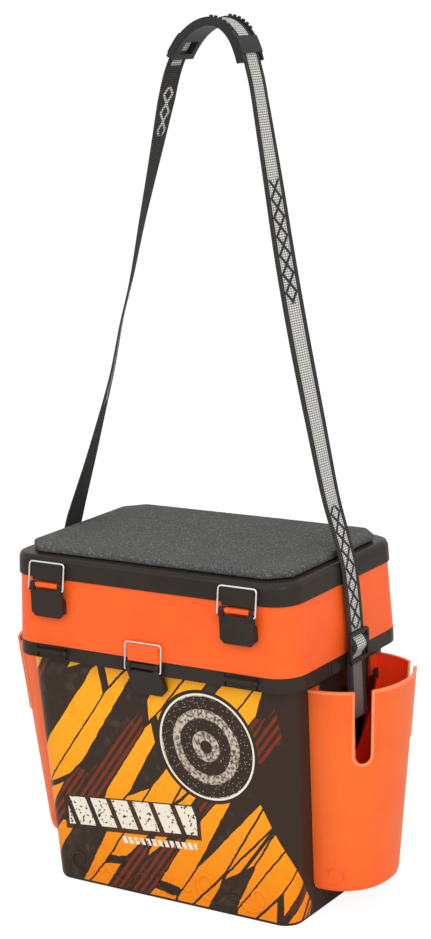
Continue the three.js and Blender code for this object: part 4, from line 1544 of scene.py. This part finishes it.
@dataclass
class Strap:
    """The carrying strap's webbing, with the route of the CAD's webbing through buckle and lugs."""

    plane_y: float = 4 * MM
    leg_x: float = 178 * MM
    lug_x: float = 178.03 * MM
    lug_z: float = 207 * MM
    rise: float = 707.5 * MM
    turn_radius: float = 4.1 * MM
    turn_steps: int = 12
    top_x: float = 46 * MM
    span: float = 100 * MM
    buckle_x: float = 184.5 * MM
    buckle_z: float = 281.5 * MM
    buckle_height: float = 33 * MM
    width: float = 30 * MM
    thickness: float = 1.6 * MM
    edge: float = 0.4 * MM
    edge_segments: int = 2
    sharp: float = 60.0
    smooth: float = 50.0
    step: float = 3 * MM
    columns: int = 8
    left_twist: float = 30.0
    right_twist: float = 12.0
    twist_foot: float = 385 * MM
    twist_top: float = 835 * MM
    right_motifs: tuple[Pair, ...] = ((300 * MM, 425 * MM), (630 * MM, 755 * MM))
    left_motifs: tuple[Pair, ...] = ((515 * MM, 645 * MM), (800 * MM, 848 * MM))
    lining: Pair = (870 * MM, 935 * MM)
    below_share: float = 0.4
    # Share of the grey side kept below the buckle: painted shade that dims the webbing there.
    painted_shade_share: float = 0.4
    left_tail_shares: tuple[Pair, ...] = ((0.22, 0.069), (0.23, 0.052), (0.54, 0.03), (0.915, 0.011))
    left_leg_shares: tuple[Pair, ...] = (
        (-1.019, 0.103), (-1.011, 0.16), (-1.003, 0.195), (-0.992, 0.225), (-0.963, 0.25),
        (-0.924, 0.276), (-0.82, 0.342), (-0.725, 0.406), (-0.612, 0.485), (-0.522, 0.563),
        (-0.439, 0.623), (-0.333, 0.714), (-0.226, 0.801), (-0.121, 0.888),
    )
    shoulder_shares: tuple[Pair, ...] = (
        (-0.605, -0.575), (-0.54, -0.425), (-0.445, -0.275), (-0.32, -0.135), (-0.16, -0.035),
        (0, 0), (0.14, -0.035), (0.26, -0.14), (0.34, -0.295), (0.39, -0.475),
    )
    right_leg_shares: tuple[Pair, ...] = (
        (0.498, 0.91), (0.53, 0.857), (0.578, 0.773), (0.64, 0.66), (0.713, 0.547), (0.797, 0.433),
        (0.887, 0.317), (0.944, 0.266), (0.987, 0.226), (0.999, 0.202), (1.011, 0.167), (1.018, 0.136),
    )
    buckle_shares: tuple[Pair, ...] = (
        (-0.097, 0.424), (-0.076, 0.303), (0.033, 0.167), (0.094, 0.015), (0.033, -0.136),
        (-0.076, -0.273), (-0.094, -0.409),
    )
    right_tail_shares: tuple[Pair, ...] = ((0.915, 0.011), (0.55, 0.03), (0.28, 0.055))
    buckle_tail_shares: tuple[Pair, ...] = (
        (-0.155, -0.47), (-0.145, -0.318), (-0.118, -0.197), (-0.076, -0.076), (-0.073, 0.045),
        (-0.073, 0.152),
    )

    def at(self, x: float, z: float) -> Vector:
        """A point in the strap's plane."""
        return Vector((x, self.plane_y, z))

    def about(self, x: float, z: float, reach: float, rise: float, shares: Sequence[Pair]) -> list[Vector]:
        """Points about a middle, from their shares of a reach and a rise."""
        return [self.at(x + out * reach, z + up * rise) for out, up in shares]

    def tail(self, shares: Sequence[Pair], end: Vector) -> list[Vector]:
        """A tail's points, beside the webbing's straight run from a lug's bar.

        Args:
            shares: how far each lies inward, in widths of the turn, and how far up the strap.
            end: where the straight run ends.

        Returns:
            The points.
        """
        side = math.copysign(1.0, end.x)
        start = side * (self.lug_x + self.turn_radius)
        made = []
        for inward, up in shares:
            z = self.lug_z + up * self.rise
            x = start + (end.x - start) * (z - self.lug_z) / (end.z - self.lug_z)
            made.append(self.at(x - side * inward * 2 * self.turn_radius, z))
        return made

    def lug_turn(self, side: Side) -> list[Vector]:
        """The half turn under a lug's bar, from its inner side to its outer one.

        Args:
            side: the lug's side.

        Returns:
            The points.
        """
        made = []
        for i in range(self.turn_steps + 1):
            angle = math.pi * (1 + i / self.turn_steps)
            x = side.value * (self.lug_x + self.turn_radius * math.cos(angle))
            made.append(self.at(x, self.lug_z + self.turn_radius * math.sin(angle)))
        return made

    def path(self) -> list[Vector]:
        """The webbing's middle line, from its left tail to its right one.

        Returns:
            The points that it runs through.
        """
        legs = (0.0, self.lug_z, self.leg_x, self.rise)
        shoulder = (self.top_x, self.lug_z + self.rise, self.span, self.span)
        buckle = (self.buckle_x, self.buckle_z, self.buckle_height, self.buckle_height)
        left = self.about(*legs, self.left_leg_shares)
        through = self.about(*buckle, self.buckle_shares)
        return [
            *self.tail(self.left_tail_shares, left[0]),
            *self.lug_turn(Side.LEFT),
            *left,
            *self.about(*shoulder, self.shoulder_shares),
            *self.about(*legs, self.right_leg_shares),
            *through,
            *reversed(self.lug_turn(Side.RIGHT)),
            *self.tail(self.right_tail_shares, through[-1]),
            *self.about(*buckle, self.buckle_tail_shares),
        ]

    def twist_at(self, point: Vector) -> float:
        """How far the webbing is turned about its own line.

        Args:
            point: a point of the line.

        Returns:
            The turn in radians.
        """
        share = (point.z - self.twist_foot) / (self.twist_top - self.twist_foot)
        if not 0 < share < 1:
            return 0.0
        most = self.left_twist if point.x < 0 else self.right_twist
        return math.radians(most) * math.sin(math.pi * share)

    def in_motif(self, point: Vector) -> bool:
        """Whether the woven lozenges run past a point."""
        spans = self.left_motifs if point.x < 0 else self.right_motifs
        return any(low < point.z < high for low, high in spans)

    def in_lining(self, point: Vector) -> bool:
        """Whether the pale lining under the pad's left end runs past a point."""
        low, high = self.lining
        return point.x < self.top_x and low < point.z < high

    def below_buckle(self, point: Vector) -> bool:
        """Whether a point lies on the right leg below the buckle."""
        return point.x > 0 and point.z < self.buckle_z - self.below_share * self.buckle_height

    def stations(self) -> list[Station]:
        """The webbing's middle line, with its directions.

        Returns:
            The stations in order.
        """
        line = spline(self.path(), self.step)
        last = len(line) - 1
        made = []
        run = 0.0
        for i, point in enumerate(line):
            after = line[min(i + 1, last)]
            ahead = (after - line[max(i - 1, 0)]).normalized()
            turn = Matrix.Rotation(self.twist_at(point), 3, ahead)
            made.append(Station(point, run, turn @ ACROSS, turn @ ahead.cross(ACROSS).normalized()))
            run += (after - point).length
        return made

    def weave(self, piece: Object, nearest: Sequence[Station]) -> None:
        """Gives the webbing's points their places in the weave.

        Along and across are places, outer is 1 on the grey side, and motif and lining are masks. Below the
        buckle the grey side is only partly shown, a painted shade that dims the webbing toward black.

        Args:
            piece: the webbing.
            nearest: each point's station.
        """
        names = ("along", "across", "outer", "motif", "lining")
        places = []
        for vertex, station in zip(piece.data.vertices, nearest):
            off = vertex.co - station.point
            is_outer = off.dot(station.out) > 0
            # Below the buckle the grey side is dimmed toward black: painted shade.
            outer = self.painted_shade_share if self.below_buckle(station.point) else 1.0
            places.append(
                (
                    station.run - off.dot(station.out.cross(station.side)),
                    off.dot(station.side) / (self.width / 2),
                    outer if is_outer else 0.0,
                    float(self.in_motif(station.point)),
                    float(self.in_lining(station.point) and not is_outer),
                )
            )
        for name, values in zip(names, zip(*places)):
            carry(piece, name, values)

    def webbing(self) -> Object:
        """The webbing: a grid laid along its stations and given its thickness.

        Returns:
            The webbing.
        """
        stations = self.stations()
        last = len(stations) - 1
        grid = {"x_subdivisions": last, "y_subdivisions": self.columns, "size": 2.0}
        piece = primitive("strap_webbing_woven", bpy.ops.mesh.primitive_grid_add, **grid)
        rows = [round((vertex.co.x + 1) / 2 * last) for vertex in piece.data.vertices]
        for vertex, row in zip(piece.data.vertices, rows):
            station = stations[row]
            vertex.co = station.point + station.side * (vertex.co.y * self.width / 2)
        carry(piece, "row", rows)
        apply_modifier(piece, "SOLIDIFY", thickness=self.thickness, offset=0.0)
        round_edges(piece, self.edge, self.sharp, self.edge_segments)
        carriers = piece.data.attributes["row"].data
        self.weave(piece, [stations[min(last, max(0, round(carrier.value)))] for carrier in carriers])
        piece.data.attributes.remove(piece.data.attributes["row"])
        smooth_faces(piece, self.smooth)
        return piece

    def build(self, fitter: Fitter) -> None:
        """Makes the webbing in its node's place."""
        fitter.fit(self.webbing(), "container", Slot.WEBBING, "strap_webbing")


# The studio


@dataclass(frozen=True)
class Lamp:
    """A soft square lamp, by its angles in degrees, its size in metres and its power in watts."""

    name: str
    azimuth: float
    elevation: float
    size: float
    power: float


@dataclass
class Studio:
    """Camera, floor, backdrop and lights. The camera was fitted to the box's corners in the photo."""

    azimuth: float = 33.817
    elevation: float = 12.168
    roll: float = -2.605
    distance: float = 2234.07 * MM
    target: Triple = (20.72 * MM, 0.0, 453.07 * MM)
    focal_pixels: float = 2134.5
    frame_height: int = 939
    sensor: float = 36.0
    clip: Pair = (0.05, 50.0)
    world_light: float = 0.62
    world_tint: Colour = (1.0, 0.99, 0.975)
    white: Colour = (1.0, 1.0, 1.0)
    floor_size: float = 14.0
    floor_drop: float = 0.4 * MM
    floor_colour: Colour = (0.93, 0.93, 0.93)
    floor_roughness: float = 0.9
    floor_gloss: float = 0.1
    floor_glow: float = 1.13
    floor_glow_share: float = 0.8
    lamp_distance: float = 2.4
    lamps: tuple[Lamp, ...] = (
        Lamp("key", azimuth=52, elevation=26, size=1.4, power=22),
        Lamp("front", azimuth=-18, elevation=34, size=1.6, power=11),
        Lamp("top", azimuth=10, elevation=80, size=1.8, power=10),
    )

    def direction(self, azimuth: float, elevation: float) -> Vector:
        """The direction from the object to a place round it, by its angles in degrees."""
        a, e = math.radians(azimuth), math.radians(elevation)
        return Vector((math.sin(a) * math.cos(e), -math.cos(a) * math.cos(e), math.sin(e)))

    def camera(self) -> None:
        """Places the camera as the photograph was taken."""
        back = self.direction(self.azimuth, self.elevation)
        a = math.radians(self.azimuth)
        level = Vector((math.cos(a), math.sin(a), 0))
        roll = math.radians(self.roll)
        right = math.cos(roll) * level + math.sin(roll) * back.cross(level)
        up = back.cross(right)
        data = bpy.data.cameras.new("camera")
        data.sensor_width = self.sensor
        data.lens = self.focal_pixels / self.frame_height * self.sensor
        data.clip_start, data.clip_end = self.clip
        camera = linked("camera", data)
        place = Vector(self.target) + back * self.distance
        turn = Matrix((right, up, back)).transposed().to_4x4()
        camera.matrix_world = Matrix.Translation(place) @ turn
        bpy.context.scene.camera = camera

    def light(self, lamp: Lamp) -> None:
        """Aims a lamp at the object.

        Args:
            lamp: the lamp.
        """
        data = bpy.data.lights.new(lamp.name, "AREA")
        data.size = lamp.size
        data.energy = lamp.power
        piece = linked(lamp.name, data)
        back = self.direction(lamp.azimuth, lamp.elevation)
        piece.location = Vector(self.target) + back * self.lamp_distance
        piece.rotation_mode = "QUATERNION"
        piece.rotation_quaternion = (-back).to_track_quat("-Z", "Y")

    def world(self) -> None:
        """A white background that lights the object softly."""
        world = bpy.data.worlds.new("studio")
        graph = Graph(world)
        path = graph.node("ShaderNodeLightPath")
        kinds = ("Camera", "Glossy", "Transmission")
        camera, glossy, through = (graph.value(path, f"Is {kind} Ray") for kind in kinds)
        light = graph.node("ShaderNodeBackground", inputs={0: self.world_tint, 1: self.world_light})
        white = graph.node("ShaderNodeBackground", inputs={0: self.white})
        mix = graph.mixed(camera.either(glossy).either(through), light, white)
        graph.node("ShaderNodeOutputWorld", inputs={0: mix.outputs[0]})
        bpy.context.scene.world = world

    def floor(self) -> None:
        """A plain pale floor that keeps a faint shadow."""
        place = (0, 0, -self.floor_drop)
        floor = primitive("floor", bpy.ops.mesh.primitive_plane_add, size=self.floor_size, location=place)
        material = bpy.data.materials.new("floor")
        graph = Graph(material)
        matt = {
            "Base Color": self.floor_colour,
            "Roughness": self.floor_roughness,
            "Specular IOR Level": self.floor_gloss,
        }
        shader = graph.node("ShaderNodeBsdfPrincipled", inputs=matt)
        glow = graph.node("ShaderNodeEmission", inputs={"Strength": self.floor_glow})
        camera_ray = graph.value(graph.node("ShaderNodeLightPath"), "Is Camera Ray")
        mix = graph.mixed(camera_ray * self.floor_glow_share, shader, glow)
        graph.node("ShaderNodeOutputMaterial", inputs={"Surface": mix.outputs[0]})
        floor.data.materials.append(material)

    def build(self) -> None:
        """Sets up the studio."""
        bpy.context.scene.view_settings.view_transform = "Standard"
        self.camera()
        self.world()
        self.floor()
        for lamp in self.lamps:
            self.light(lamp)


def main() -> None:
    """Builds the seat box's looks in order."""
    logging.basicConfig(level=logging.INFO, format="%(message)s")
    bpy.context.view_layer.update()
    Studio().build()
    fitter = Fitter(Finishes())
    Container().build(fitter)
    Moulding("tray", "tray", Slot.ORANGE, edge=0.6 * MM).build(fitter)
    Moulding("lid", "lid", Slot.BLACK, edge=0.6 * MM, sharp=60, smooth=52).build(fitter)
    SeatPad().build(fitter)
    for name in ("left", "right", "centre"):
        Moulding(f"{name}_latch_lever", f"{name}_lever", Slot.BLACK, edge=0.35 * MM).build(fitter)
        Moulding(f"{name}_latch_bail", f"{name}_bail", Slot.STEEL, edge=0.0, smooth=60).build(fitter)
    for side in Side:
        Pocket(side).build(fitter)
    Strap().build(fitter)
    Moulding("shoulder_pad", "container", Slot.RUBBER, edge=0.5 * MM).build(fitter)
    Moulding("adjuster_buckle", "container", Slot.BLACK, edge=0.5 * MM).build(fitter)
    for name in ("left_tray", "right_tray", "left_lid", "right_lid"):
        fitter.dress(f"{name}_hinge_pin", Slot.STEEL)


if __name__ == "__main__":
    main()
